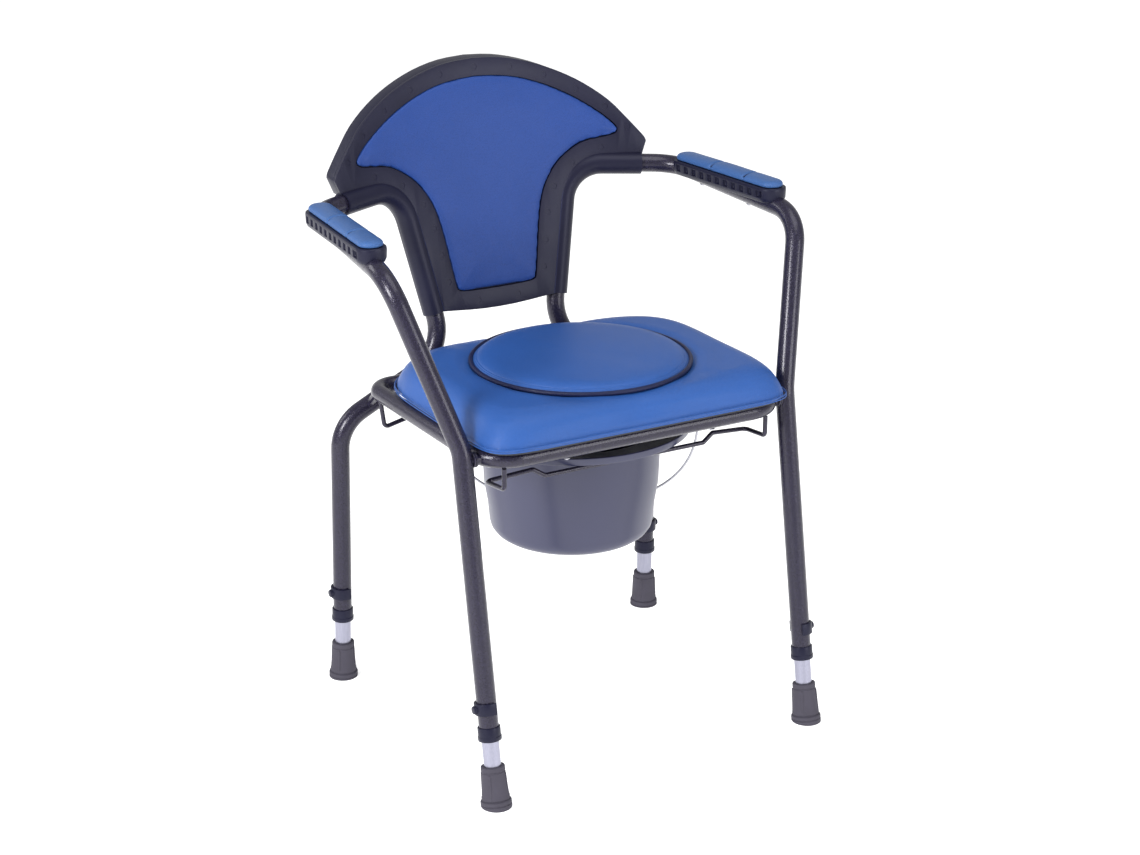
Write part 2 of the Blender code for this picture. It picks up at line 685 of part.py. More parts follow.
def plug():
    """The lift-out lid of the seat: a board, its upholstery and the piping round its rim."""
    base = [(0, BOARD_TOP_Z + 0.010), (PLUG_NECK_RADIUS - 0.003, BOARD_TOP_Z + 0.010),
            (PLUG_NECK_RADIUS - 0.003, BOARD_TOP_Z + GAP), (0, BOARD_TOP_Z + GAP)]
    place = Matrix.Translation((0, PLUG_Y, 0))
    finish("plug_board", turned_mesh(base, 36), "seat_board", place)
    low = BOARD_TOP_Z + 0.010 + GAP
    rim = CUSHION_TOP_Z + GAP
    top = CUSHION_TOP_Z + PLUG_RISE
    pad = [
        (0, top), (PLUG_RADIUS * 0.55, top - 0.0012), (PLUG_RADIUS * 0.86, top - 0.004),
        (PLUG_RADIUS * 0.965, top - 0.0075), (PLUG_RADIUS - PIPING_RADIUS, rim + 0.0035),
        (PLUG_RADIUS - PIPING_RADIUS, rim), (PLUG_NECK_RADIUS, rim), (PLUG_NECK_RADIUS, low), (0, low),
    ]
    finish("plug_cushion", turned_mesh(pad, 36), "blue_vinyl", place)
    centre = PLUG_RADIUS + GAP * 2
    piping = [
        (centre + PIPING_RADIUS * math.cos(a), rim + PIPING_RADIUS + PIPING_RADIUS * math.sin(a))
        for a in [math.radians(90 - 60 * k) for k in range(6)]
    ]
    finish("plug_piping", turned_mesh(piping, 36), "black_plastic", place)


# ---- bucket --------------------------------------------------------------------------------------
def bucket():
    top = FLANGE_BOTTOM_Z + FLANGE_THICK
    bottom = FLANGE_BOTTOM_Z - BUCKET_DEPTH
    outer, wall = BUCKET_TOP_RADIUS, BUCKET_WALL
    foot = BUCKET_BOTTOM_RADIUS
    middle = (outer + foot) / 2 + BUCKET_BELLY
    profile = [
        (FLANGE_RADIUS, top + 0.004), (FLANGE_RADIUS, FLANGE_BOTTOM_Z), (outer + 0.002, FLANGE_BOTTOM_Z),
        (outer, FLANGE_BOTTOM_Z - 0.004), (middle, FLANGE_BOTTOM_Z - 0.075), (foot, bottom + 0.020),
        (foot - 0.006, bottom + 0.0075), (foot - 0.018, bottom + 0.001), (foot - 0.030, bottom), (0, bottom),
    ]
    inner = [
        (0, bottom + wall), (foot - 0.030, bottom + wall), (foot - 0.010, bottom + 0.008),
        (foot - wall, bottom + 0.020), (middle - wall, FLANGE_BOTTOM_Z - 0.075),
        (outer - wall, top - 0.002), (outer - wall + 0.002, top),
        (FLANGE_RADIUS - wall, top), (FLANGE_RADIUS - wall, top + 0.004),
    ]
    place = Matrix.Translation((0, BUCKET_Y, 0)) @ Matrix.Rotation(BUCKET_TURN, 4, "Z")
    ring = profile + inner
    bm = bmesh.new()
    verts = [bm.verts.new((radius, 0, height)) for radius, height in ring]
    edges = [bm.edges.new(pair) for pair in zip(verts, verts[1:])]
    edges.append(bm.edges.new((verts[-1], verts[0])))
    edges = [e for e in edges if not (e.verts[0].co.x == 0 and e.verts[1].co.x == 0)]
    bmesh.ops.spin(
        bm, geom=verts + edges, cent=(0, 0, 0), axis=(0, 0, 1), angle=2 * math.pi, steps=32, use_merge=True
    )
    bmesh.ops.remove_doubles(bm, verts=bm.verts, dist=1e-6)
    loose = [e for e in bm.edges if not e.link_faces]
    bmesh.ops.delete(bm, geom=loose, context="EDGES")
    body = finish("bucket", mesh_of(bm), "bucket_plastic", place)
    for name, side in SIDES:
        near, far = sorted((side * (FLANGE_RADIUS - 0.009), side * (BAIL_HALF_WIDTH + 0.0003)))
        ear = box_mesh((near, -0.006, FLANGE_BOTTOM_Z), (far, 0.006, top + 0.006))
        boolean(body, as_cutter(f"bucket_ear_{name}", ear, place), "UNION")
        hole = rod_mesh(
            (side * (FLANGE_RADIUS - 0.02), 0, BAIL_PIVOT_Z), (side * (FLANGE_RADIUS + 0.02), 0, BAIL_PIVOT_Z),
            BAIL_RADIUS + GAP, 8,
        )
        boolean(body, as_cutter(f"bail_hole_{name}", hole, place))


BAIL_PIVOT_Z = FLANGE_BOTTOM_Z + 0.0055


def bail():
    """The bucket's wire handle, hanging down behind the bucket; its origin is on its pivots."""
    half, eye = BAIL_HALF_WIDTH + 0.003, BAIL_HALF_WIDTH - 0.007
    points = [Vector((eye, 0, 0)), Vector((half, 0, 0))]
    arc, power = 18, 2 / BAIL_ROUNDNESS
    for step in range(1, arc):
        angle = math.pi * step / arc
        across = math.copysign(abs(math.cos(angle)) ** power, math.cos(angle))
        points.append(Vector((half * across, 0, -BAIL_DROP * math.sin(angle) ** power)))
    points += [Vector((-half, 0, 0)), Vector((-eye, 0, 0))]
    place = (
        Matrix.Translation((0, BUCKET_Y, BAIL_PIVOT_Z))
        @ Matrix.Rotation(BUCKET_TURN, 4, "Z") @ Matrix.Rotation(BAIL_TILT, 4, "X")
    )
    finish("bucket_bail", curve_mesh(points, BAIL_RADIUS, 8), "bright_steel", place)


# ---- armrests ------------------------------------------------------------------------------------
def stadium(length, width, corner, steps=3):
    """A rectangle with rounded corners, its length along Y."""
    outline = []
    for cx, cy, start in (
        (1, 1, 0), (-1, 1, 90), (-1, -1, 180), (1, -1, 270),
    ):
        for step in range(steps + 1):
            angle = math.radians(start + 90 * step / steps)
            outline.append((
                cx * (width / 2 - corner) + corner * math.cos(angle),
                cy * (length / 2 - corner) + corner * math.sin(angle),
            ))
    return outline


def armrests():
    for name, side in SIDES:
        middle = Vector((arm_line(ARM_MIDDLE_Y) * side, ARM_MIDDLE_Y, 0))
        splay = math.atan2(ARM_REAR.x - ARM_FRONT.x, ARM_REAR.y - ARM_FRONT.y) * -side
        place = Matrix.Translation(middle) @ Matrix.Rotation(splay, 4, "Z")
        base_edge = stadium(ARM_BASE_LENGTH, ARM_BASE_WIDTH, 0.018, 4)
        base = finish(
            f"armrest_base_{name}", plate_mesh(base_edge, ARM_BASE_BOTTOM, ARM_BASE_TOP), "black_plastic", place
        )
        inflated = curve_mesh(side_path(side), TUBE_RADIUS + GAP, TUBE_SIDES)
        boolean(base, as_cutter(f"arm_saddle_{name}", inflated))
        pad_edge = stadium(
            ARM_BASE_LENGTH - 2 * ARM_PAD_INSET, ARM_BASE_WIDTH - 2 * ARM_PAD_INSET, 0.0145, 4
        )
        pad_bottom = ARM_BASE_TOP + GAP
        pad = finish(
            f"armrest_pad_{name}",
            plate_mesh(pad_edge, pad_bottom, pad_bottom + ARM_PAD_THICK, 0.005), "blue_vinyl", place,
        )
        boolean(pad, bpy.data.objects[f"arm_saddle_{name}"])
        for number, y in enumerate(ARM_SCREW_YS):
            x, z = arm_line(y) * side, arm_tube_height(y)
            tip = ARM_BASE_TOP - 0.004
            screw(f"arm_screw_{name}_{number + 1}", (x, y, z - TUBE_RADIUS - GAP), (x, y, tip))
            hole = rod_mesh((x, y, z), (x, y, tip + GAP * 3), SCREW_RADIUS + GAP, 8)
            boolean(base, as_cutter(f"arm_base_hole_{name}_{number}", hole))


# ---- telescopic legs -----------------------------------------------------------------------------
def legs():
    for which in LEGS:
        for name, side in SIDES:
            leg(f"{which}_{name}", leg_frame(which, side), side)


def leg(name, place, side):
    """The collar on the tube's end, the inner tube, the rubber foot and the clip with its pin."""
    lip = 0.003
    bore = TUBE_RADIUS + GAP
    slide = INNER_RADIUS + GAP
    top = COLLAR_BOTTOM + COLLAR_HEIGHT
    ring = [
        (COLLAR_RADIUS - 0.0006, top), (COLLAR_RADIUS, top - 0.001), (COLLAR_RADIUS, COLLAR_BOTTOM + 0.001),
        (COLLAR_RADIUS - 0.001, COLLAR_BOTTOM), (slide, COLLAR_BOTTOM), (slide, COLLAR_BOTTOM + lip - GAP),
        (bore, COLLAR_BOTTOM + lip - GAP), (bore, top),
    ]
    finish(f"leg_collar_{name}", turned_mesh(ring, 20), "black_plastic", place)

    socket = 0.014
    inner_top = PIN_HEIGHT + HOLES_UP * HOLE_PITCH + 0.020
    hollow = [
        (INNER_RADIUS, inner_top), (INNER_RADIUS, socket + GAP), (INNER_RADIUS - INNER_WALL, socket + GAP),
        (INNER_RADIUS - INNER_WALL, inner_top),
    ]
    inner = finish(f"inner_tube_{name}", turned_mesh(hollow, 16), "aluminium", place)
    for number in range(-HOLES_DOWN, HOLES_UP + 1):
        height = PIN_HEIGHT + number * HOLE_PITCH
        hole = rod_mesh((-0.02, 0, height), (0.02, 0, height), PIN_RADIUS + GAP, 6)
        boolean(inner, as_cutter(f"inner_hole_{name}_{number + HOLES_DOWN}", hole, place))

    sunk = 0.012
    base = FOOT_BASE_RADIUS
    cup = [
        (FOOT_TOP_RADIUS - 0.001, FOOT_HEIGHT), (FOOT_TOP_RADIUS, FOOT_HEIGHT - 0.002),
        (FOOT_TOP_RADIUS + 0.0008, 0.030), (base - 0.0022, 0.010), (base - 0.0022, 0.008), (base, 0.0065),
        (base, -sunk), (0, -sunk), (0, socket), (INNER_RADIUS + GAP, socket),
        (INNER_RADIUS + GAP, FOOT_HEIGHT),
    ]
    bm = bmesh.new()
    verts = [bm.verts.new((radius, 0, height)) for radius, height in cup]
    edges = [bm.edges.new(pair) for pair in zip(verts, verts[1:])]
    edges.append(bm.edges.new((verts[-1], verts[0])))
    edges = [e for e in edges if not (e.verts[0].co.x == 0 and e.verts[1].co.x == 0)]
    bmesh.ops.spin(
        bm, geom=verts + edges, cent=(0, 0, 0), axis=(0, 0, 1), angle=2 * math.pi, steps=20, use_merge=True
    )
    bmesh.ops.remove_doubles(bm, verts=bm.verts, dist=1e-6)
    bmesh.ops.delete(bm, geom=[e for e in bm.edges if not e.link_faces], context="EDGES")
    foot = finish(f"foot_{name}", mesh_of(bm), "foot_rubber", place)
    boolean(foot, FLOOR)

    clip(f"leg_clip_{name}", place, side)


def clip(name, place, side):
    """A plastic clip that hugs the tube's outer half; its pin goes through the tube's wall."""
    inside, outside = TUBE_RADIUS + GAP, TUBE_RADIUS + GAP + CLIP_WALL
    reach = 0.006
    outline = []
    for radius, order in ((outside, 1), (inside, -1)):
        arc = [math.radians(-90 + 18 * k) for k in range(11)]
        points = [(radius * math.cos(a), radius * math.sin(a)) for a in arc]
        points = [(-reach, -radius)] + points + [(-reach, radius)]
        outline += points[::order]
    outline = [(x * side, y) for x, y in outline]
    low = PIN_HEIGHT - CLIP_HEIGHT / 2
    band = finish(name, plate_mesh(outline, low, low + CLIP_HEIGHT), "black_plastic", place)
    knob = rod_mesh(
        (side * (outside - 0.001), 0, PIN_HEIGHT), (side * (outside + 0.0035), 0, PIN_HEIGHT), 0.0052, 10
    )
    boolean(band, as_cutter(f"{name}_knob", knob, place), "UNION")
    pin = rod_mesh(
        (side * (INNER_RADIUS + GAP), 0, PIN_HEIGHT), (side * (outside - 0.0006), 0, PIN_HEIGHT), PIN_RADIUS, 8
    )
    boolean(band, as_cutter(f"{name}_pin", pin, place), "UNION")


def main():
    side_tubes()
    seat_frame()
    frame_welds()
    bucket_wires()
    backrest()
    seat()
    plug()
    bucket()
    bail()
    armrests()
    legs()


clear_scene()
PARTS = collection("commode_chair")
CUTTERS = collection("cutters")
FLOOR = as_cutter("floor", box_mesh((-0.6, -0.6, -0.1), (0.6, 0.6, 0.0)))
main()
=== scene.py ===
"""Commode chair: its tubes, backrest, seat, lift-out plug, bucket, armrests and legs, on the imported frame."""

import math

import bmesh
import bpy
from mathutils import Matrix, Vector, noise


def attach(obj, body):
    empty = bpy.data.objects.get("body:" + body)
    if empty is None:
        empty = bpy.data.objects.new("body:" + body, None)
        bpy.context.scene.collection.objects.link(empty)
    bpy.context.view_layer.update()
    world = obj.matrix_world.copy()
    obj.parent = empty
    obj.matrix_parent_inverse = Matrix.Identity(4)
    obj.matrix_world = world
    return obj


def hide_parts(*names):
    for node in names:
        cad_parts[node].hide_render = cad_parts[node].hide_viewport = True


bl_info = {
    "name": "Commode Chair",
    "version": (1, 0, 0),
    "blender": (4, 5, 0),
    "location": "View3D > Sidebar > Commode Chair",
    "description": "Builds the visible pieces of a commode chair on its packed frame",
    "category": "Add Mesh",
}

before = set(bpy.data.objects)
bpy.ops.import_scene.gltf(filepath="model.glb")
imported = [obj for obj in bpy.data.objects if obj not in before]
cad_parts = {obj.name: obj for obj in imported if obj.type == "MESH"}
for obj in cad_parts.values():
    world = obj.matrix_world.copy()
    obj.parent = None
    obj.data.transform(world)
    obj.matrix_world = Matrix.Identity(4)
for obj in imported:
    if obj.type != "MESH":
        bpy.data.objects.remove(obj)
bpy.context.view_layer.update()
SIDES = (("left", 1), ("right", -1))
MERGE = 1e-6  # points closer than this are one point
CLOTH_FRAMES = 20


def sized(label, description, default):
    return bpy.props.FloatProperty(
        name=label, description=description, default=default, subtype="DISTANCE", unit="LENGTH", precision=4,
    )


def coloured(label, description, default):
    return bpy.props.FloatVectorProperty(
        name=label, description=description, default=default, size=3, subtype="COLOR", min=0, max=1,
    )


class FrameSizes(bpy.types.PropertyGroup):
    tube: sized("Side tube", "Radius of the bent side tubes", 0.0125)
    wall: sized("Tube wall", "Wall of the side tubes", 0.0012)
    rail: sized("Seat rail", "Radius of the seat frame's tube", 0.011)
    wire: sized("Wire", "Radius of the wires that carry the bucket", 0.003)


class BackSizes(bpy.types.PropertyGroup):
    proud: sized("Pad crown", "How far the pad stands in front of its frame", 0.0062)
    face: sized("Face frame", "Thickness of the moulded front frame", 0.0055)
    depth: sized("Shell depth", "Depth of the rear shell behind the face", 0.0277)
    sleeve: sized("Channel", "Radius of the channels round the tubes", 0.0150)


class SeatSizes(bpy.types.PropertyGroup):
    half_width: sized("Half width", "Half the seat cushion's width", 0.2195)
    front: sized("Front", "Where the cushion's front edge is", -0.2245)
    rear: sized("Rear", "Where the cushion's rear edge is", 0.121)
    bottom: sized("Bottom", "Height of the cushion's lower edge", 0.4425)
    top: sized("Top", "Height of the cushion's top", 0.4845)
    plug: sized("Plug", "Radius of the lift-out plug's rim", 0.1405)
    welt: sized("Piping", "Radius of the plug's piping", 0.0028)


class BucketSizes(bpy.types.PropertyGroup):
    flange: sized("Flange", "Radius of the bucket's flange", 0.158)
    mouth: sized("Mouth", "Radius under the flange", 0.118)
    base: sized("Base", "Radius near the bottom", 0.1075)
    depth: sized("Depth", "Depth below the flange", 0.1475)
    wall: sized("Wall", "Thickness of the wall", 0.0025)


class ArmSizes(bpy.types.PropertyGroup):
    length: sized("Length", "Length of the armrest", 0.216)
    width: sized("Width", "Width of the armrest", 0.0395)
    bottom: sized("Bottom", "Height of the base's lower edge", 0.655)
    top: sized("Top", "Height of the base's upper edge", 0.6745)


class LegSizes(bpy.types.PropertyGroup):
    inner: sized("Inner tube", "Radius of the telescopic tube", 0.0108)
    collar: sized("Collar", "Radius of the collar", 0.0143)
    foot: sized("Foot", "Radius of the foot's base", 0.0195)
    pitch: sized("Hole pitch", "Distance between height settings", 0.025)


class Colours(bpy.types.PropertyGroup):
    paint: coloured("Frame paint", "Hammered paint of the tubes", (0.008, 0.007, 0.015))
    plastic: coloured("Black plastic", "Moulded plastic of the backrest and arms", (0.0080, 0.0080, 0.0210))
    vinyl: coloured("Vinyl", "Upholstery of the seat, back and arms", (0.025, 0.093, 0.335))
    bucket: coloured("Bucket", "Plastic of the bucket", (0.031, 0.033, 0.074))
    rubber: coloured("Rubber", "Rubber of the feet", (0.044, 0.040, 0.057))


# ---- finishes ------------------------------------------------------------------------------------
class Field:
    """A node's output used as a number: each operator adds its Math node."""

    def __init__(self, finish, socket):
        self.finish, self.socket = finish, socket

    def worked(self, operation, first, second):
        return self.finish.node("ShaderNodeMath", {"operation": operation}, {0: first, 1: second})

    def __add__(self, other):
        return self.worked("ADD", self, other)

    def __sub__(self, other):
        return self.worked("SUBTRACT", self, other)

    def __mul__(self, other):
        return self.worked("MULTIPLY", self, other)

    __radd__, __rmul__ = __add__, __mul__


class Finish:
    """A material under its name, with one method that adds any node."""

    def __init__(self, name, **constants):
        self.material = bpy.data.materials.new(name)
        self.material.use_nodes = True
        self.tree = self.material.node_tree
        self.shader = self.tree.nodes["Principled BSDF"]
        for key, value in constants.items():
            self.shader.inputs[key.replace("_", " ")].default_value = value
        self.place = self.node("ShaderNodeTexCoord", out="Object")

    def node(self, kind, settings=None, sockets=None, out=0):
        made = self.tree.nodes.new(kind)
        for key, value in (settings or {}).items():
            setattr(made, key, value)
        for key, value in (sockets or {}).items():
            if isinstance(value, Field):
                self.tree.links.new(value.socket, made.inputs[key])
            else:
                made.inputs[key].default_value = value
        return Field(self, made.outputs[out])

    def grain(self, scale, detail=3.0, rough=0.5, place=None):
        sockets = {"Vector": place or self.place, "Scale": scale, "Detail": detail, "Roughness": rough}
        return self.node("ShaderNodeTexNoise", None, sockets)

    def cells(self, scale, feature):
        return self.node("ShaderNodeTexVoronoi", {"feature": feature}, {"Vector": self.place, "Scale": scale})

    def between(self, field, low, high):
        """0 below low, 1 above high, and an eased step between them."""
        sockets = {"Value": field, "From Min": low, "From Max": high}
        return self.node("ShaderNodeMapRange", {"interpolation_type": "SMOOTHSTEP"}, sockets)

    def mixed(self, factor, first, second):
        return self.node("ShaderNodeMix", {"data_type": "RGBA"}, {0: factor, 6: first, 7: second}, out=2)

    def feed(self, **fields):
        for key, value in fields.items():
            self.tree.links.new(value.socket, self.shader.inputs[key.replace("_", " ")])

    def toned(self, factor, first, second, roughness):
        self.feed(Base_Color=self.mixed(factor, first, second), Roughness=roughness)

    def bumped(self, height, distance, strength):
        sockets = {"Height": height, "Distance": distance, "Strength": strength}
        self.feed(Normal=self.node("ShaderNodeBump", None, sockets))


def shade(colour, factor):
    """The colour made darker or paler, with its alpha."""
    return (*(min(1.0, c * factor) for c in colour), 1)


def hammered_paint(colour):
    made = Finish(
        "hammered_paint_grain", Coat_Weight=0.30, Coat_Roughness=0.13, Specular_IOR_Level=0.26,
        Specular_Tint=(0.88, 0.84, 1.0, 1),
    )
    dimples = made.cells(640, "SMOOTH_F1")
    fine = made.grain(2600, 2.0)
    cloud = made.grain(14, 2.0)
    fleck = made.between(fine + dimples * 0.5, 0.62, 0.85)
    tone = made.mixed(cloud, shade(colour, 0.86), shade(colour, 1.16))
    made.toned(fleck * 0.7, tone, shade(colour, 3.2), fleck * -0.08 + 0.24)
    made.bumped(dimples + fine * 0.45, 0.0005, 0.55)
    return made.material


def moulded_plastic(colour):
    made = Finish("moulded_plastic", Specular_IOR_Level=0.22, Specular_Tint=(0.86, 0.87, 1.0, 1))
    spark = made.grain(3200, 2.0)
    cloud = made.grain(22, 3.0)
    made.toned(cloud, shade(colour, 0.85), shade(colour, 1.3), cloud * 0.14 + 0.31)
    made.bumped(spark, 0.00012, 0.45)
    return made.material


def vinyl(name, colour, roughness=0.31):
    made = Finish(name, Specular_IOR_Level=0.22)
    wander = made.grain(300, 2.0)
    pebble = made.cells(1050, "DISTANCE_TO_EDGE")
    crease = made.between(pebble, 0.0, 0.22)
    cloud = made.grain(9, 4.0, 0.6)
    pale = made.mixed(cloud, shade(colour, 0.88), shade(colour, 1.16))
    # The grain's creases are painted darker, down to 0.70 of the colour: painted shade in the creases. The same mask
    # also lowers them in the bump and roughens them.
    made.toned(crease, shade(colour, 0.70), pale, roughness + 0.1 * cloud - 0.05 * crease)
    made.bumped(crease + wander * 0.9, 0.00022, 0.45)
    return made.material


def bucket_plastic(colour):
    made = Finish("bucket_plastic_satin", Specular_IOR_Level=0.5)
    cloud = made.grain(12, 3.0)
    orange = made.grain(900, 2.0)
    made.toned(cloud, shade(colour, 0.92), shade(colour, 1.10), cloud * 0.10 + 0.27)
    made.bumped(orange, 0.00012, 0.5)
    return made.material


def brushed_aluminium():
    made = Finish("brushed_aluminium", Metallic=1.0)
    stretched = made.node("ShaderNodeMapping", None, {"Vector": made.place, "Scale": (1800, 1800, 30)})
    lines = made.grain(1.0, 3.0, 0.5, stretched)
    made.toned(lines, (0.24, 0.24, 0.31, 1), (0.42, 0.42, 0.51, 1), lines * 0.16 + 0.24)
    made.bumped(lines, 0.00006, 0.5)
    return made.material


def steel():
    made = Finish("zinc_steel", Metallic=1.0)
    cloud = made.grain(260, 3.0)
    made.toned(cloud, (0.36, 0.36, 0.40, 1), (0.52, 0.52, 0.56, 1), cloud * 0.15 + 0.18)
    return made.material


def rubber(colour):
    made = Finish("foot_rubber_matt", Specular_IOR_Level=0.35)
    cloud = made.grain(60, 4.0)
    dust = made.grain(1600, 2.0)
    made.toned(cloud, shade(colour, 0.80), shade(colour, 1.25), cloud * 0.15 + 0.62)
    made.bumped(dust, 0.00020, 0.5)
    return made.material


def painted_board():
    made = Finish("painted_board")
    fibres = made.grain(420, 4.0)
    made.toned(fibres, (0.012, 0.012, 0.015, 1), (0.030, 0.030, 0.034, 1), fibres * 0.2 + 0.55)
    made.bumped(fibres, 0.0003, 0.5)
    return made.material


FINISHES = {}


def finish_of(slot):
    """The finish of a material slot, made once from the chair's colours."""
    if not FINISHES:
        colours = bpy.context.scene.commode_colours

        def scaled_vinyl(*factors):
            return [part * factor for part, factor in zip(colours.vinyl, factors)]

        FINISHES.update(
            hammered_paint=hammered_paint(colours.paint), black_plastic=moulded_plastic(colours.plastic),
            blue_vinyl=vinyl("blue_vinyl_grain", colours.vinyl), seat_board=painted_board(),
            back_vinyl=vinyl("back_vinyl_grain", scaled_vinyl(0.66, 0.58, 0.72)),
            # The arm pads' vinyl is a paler, greyer copy of the seat's: painted highlight on the pads.
            pale_vinyl=vinyl("arm_vinyl_grain_painted_highlight", scaled_vinyl(1.7, 1.2, 0.90), 0.30),
            # The dark piping finish also colours the lines in the armrest grooves, which are painted shade.
            black_piping=vinyl("dark_piping_and_groove_shade_vinyl", (0.009, 0.012, 0.050), 0.34),
            bucket_plastic=bucket_plastic(colours.bucket), bright_steel=steel(),
            aluminium=brushed_aluminium(), foot_rubber=rubber(colours.rubber),
        )
    return FINISHES[slot]


# ---- making pieces -------------------------------------------------------------------------------
def meshed(bm, name="shape", recalculate=True):
    if recalculate:
        bmesh.ops.recalc_face_normals(bm, faces=bm.faces)
    mesh = bpy.data.meshes.new(name)
    bm.to_mesh(mesh)
    bm.free()
    return mesh


def opened(*meshes):
    """The meshes in one bmesh, ready for a change."""
    bm = bmesh.new()
    for mesh in meshes:
        bm.from_mesh(mesh)
    return bm


def joined(*meshes):
    return meshed(opened(*meshes), recalculate=False)


def piece(name, mesh, slot, body, *nodes, sharp=38):
    """A finished piece: its mesh in place, its finish, the body that carries it, the nodes it stands for."""
    mesh.materials.clear()
    mesh.materials.append(finish_of(slot))
    mesh.shade_smooth()
    mesh.set_sharp_from_angle(angle=math.radians(sharp))
    obj = bpy.data.objects.new(name, mesh)
    bpy.context.scene.collection.objects.link(obj)
    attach(obj, body)
    if nodes:
        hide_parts(*nodes)
    return obj


def baked(obj):
    """The object's mesh with its modifiers in it; the object goes."""
    bpy.context.view_layer.update()
    graph = bpy.context.evaluated_depsgraph_get()
    mesh = bpy.data.meshes.new_from_object(obj.evaluated_get(graph))
    bpy.data.objects.remove(obj, do_unlink=True)
    return mesh


def held(mesh):
    obj = bpy.data.objects.new("work", mesh)
    bpy.context.scene.collection.objects.link(obj)
    return obj


def sweep(path, radius, sides=32, closed=False, caps=True):
    """A round bar along a path."""
    curve = bpy.data.curves.new("path", "CURVE")
    curve.dimensions = "3D"
    spline = curve.splines.new("POLY")
    spline.points.add(len(path) - 1)
    for point, place in zip(spline.points, path):
        point.co = (*place, 1)
    spline.use_cyclic_u = closed
    curve.bevel_depth, curve.bevel_resolution = radius, (sides - 4) // 2
    curve.use_fill_caps = caps and not closed
    bm = opened(baked(held(curve)))
    bmesh.ops.remove_doubles(bm, verts=bm.verts, dist=MERGE)
    return meshed(bm)


def walled(mesh, thickness):
    """A tube's skin with its wall's thickness inwards."""
    obj = held(mesh)
    wall = obj.modifiers.new("wall", "SOLIDIFY")
    wall.thickness, wall.offset = thickness, -1
    return baked(obj)


def bent(corners, radii, steps=12):
    """The corners of a bent tube with an arc of the given radius at each inner one."""
    path = [corners[0].copy()]
    for before, corner, after, radius in zip(corners, corners[1:], corners[2:], radii):
        back, ahead = (before - corner).normalized(), (after - corner).normalized()
        half = back.angle(ahead) / 2
        reach = radius / math.tan(half)
        centre = corner + (back + ahead).normalized() * (radius / math.sin(half))
        first, last = corner + back * reach - centre, corner + ahead * reach - centre
        turn = first.rotation_difference(last)
        for step in range(steps + 1):
            part = turn.copy()
            part.angle = turn.angle * step / steps
            path.append(centre + part @ first)
    path.append(corners[-1].copy())
    return path


def near(radius, height, *steps):
    """A profile's points, given by their steps from one radius and height."""
    return [(radius + out, height + up) for out, up in steps]


def spun(profile, steps=48):
    """A turned solid: (radius, height) down its outer side and back up its inner side."""
    bm = bmesh.new()
    verts = [bm.verts.new((radius, 0, height)) for radius, height in profile]
    pairs = zip(verts, verts[1:] + verts[:1])
    edges = [bm.edges.new(pair) for pair in pairs if max(v.co.x for v in pair) > 1e-9]
    bmesh.ops.spin(
        bm, geom=verts + edges, cent=(0, 0, 0), axis=(0, 0, 1), angle=2 * math.pi, steps=steps, use_merge=True,
    )
    bmesh.ops.remove_doubles(bm, verts=bm.verts, dist=MERGE)
    return meshed(bm)


def lofted(rings, closed=False):
    """A skin through a stack of rings with the same count; its ends are capped, or joined to each other."""
    bm = bmesh.new()
    ring = [bm.verts.new(place) for place in rings[0]]
    edges = [bm.edges.new(pair) for pair in zip(ring, ring[1:] + ring[:1])]
    first = list(edges)
    for places in rings[1:]:
        index = {vert: number for number, vert in enumerate(ring)}
        grown = bmesh.ops.extrude_edge_only(bm, edges=edges)["geom"]
        edges = [e for e in grown if isinstance(e, bmesh.types.BMEdge) and not any(v in index for v in e.verts)]
        ring = [None] * len(ring)
        for vert in (v for v in grown if isinstance(v, bmesh.types.BMVert)):
            for edge in vert.link_edges:
                if edge.other_vert(vert) in index:
                    ring[index[edge.other_vert(vert)]] = vert
        for vert, place in zip(ring, places):
            vert.co = place
    if closed:
        bmesh.ops.remove_doubles(bm, verts=bm.verts, dist=MERGE)
    else:
        bmesh.ops.contextual_create(bm, geom=first)
        bmesh.ops.contextual_create(bm, geom=edges)
    return meshed(bm)


def bevelled(mesh, offset, segments=3, angle=50):
    """The mesh with every edge that turns more than the angle rounded."""
    bm = opened(mesh)
    sharp = [e for e in bm.edges if e.is_manifold and e.calc_face_angle(0) > math.radians(angle)]
    bmesh.ops.bevel(
        bm, geom=sharp, offset=offset, segments=segments, profile=0.5, affect="EDGES", material=-1, clamp_overlap=True,
    )
    return meshed(bm)


def placed(mesh, matrix):
    mesh.transform(matrix)
    if matrix.determinant() < 0:
        mesh.flip_normals()
    return mesh


def cut(mesh, cutter):
    """The mesh with the cutter's room taken out of it."""
    obj, other = held(mesh), held(cutter)
    step = obj.modifiers.new("cut", "BOOLEAN")
    step.operation, step.object, step.solver = "DIFFERENCE", other, "EXACT"
    made = baked(obj)
    bpy.data.objects.remove(other, do_unlink=True)
    return made


def rod(start, end, radius, sides=24, end_radius=None, edge=0.0):
    start, end = Vector(start), Vector(end)
    bm = bmesh.new()
    bmesh.ops.create_cone(
        bm, cap_ends=True, segments=sides, radius1=radius, radius2=radius if end_radius is None else end_radius,
        depth=(end - start).length,
    )
    turn = (end - start).to_track_quat("Z", "Y").to_matrix().to_4x4()
    bmesh.ops.transform(bm, matrix=Matrix.Translation((start + end) / 2) @ turn, verts=bm.verts)
    mesh = meshed(bm)
    return bevelled(mesh, edge, 2) if edge else mesh


def settle(bm, times):
    for _ in range(times):
        bmesh.ops.smooth_vert(bm, verts=bm.verts, factor=0.5, use_axis_x=True, use_axis_y=True, use_axis_z=True)


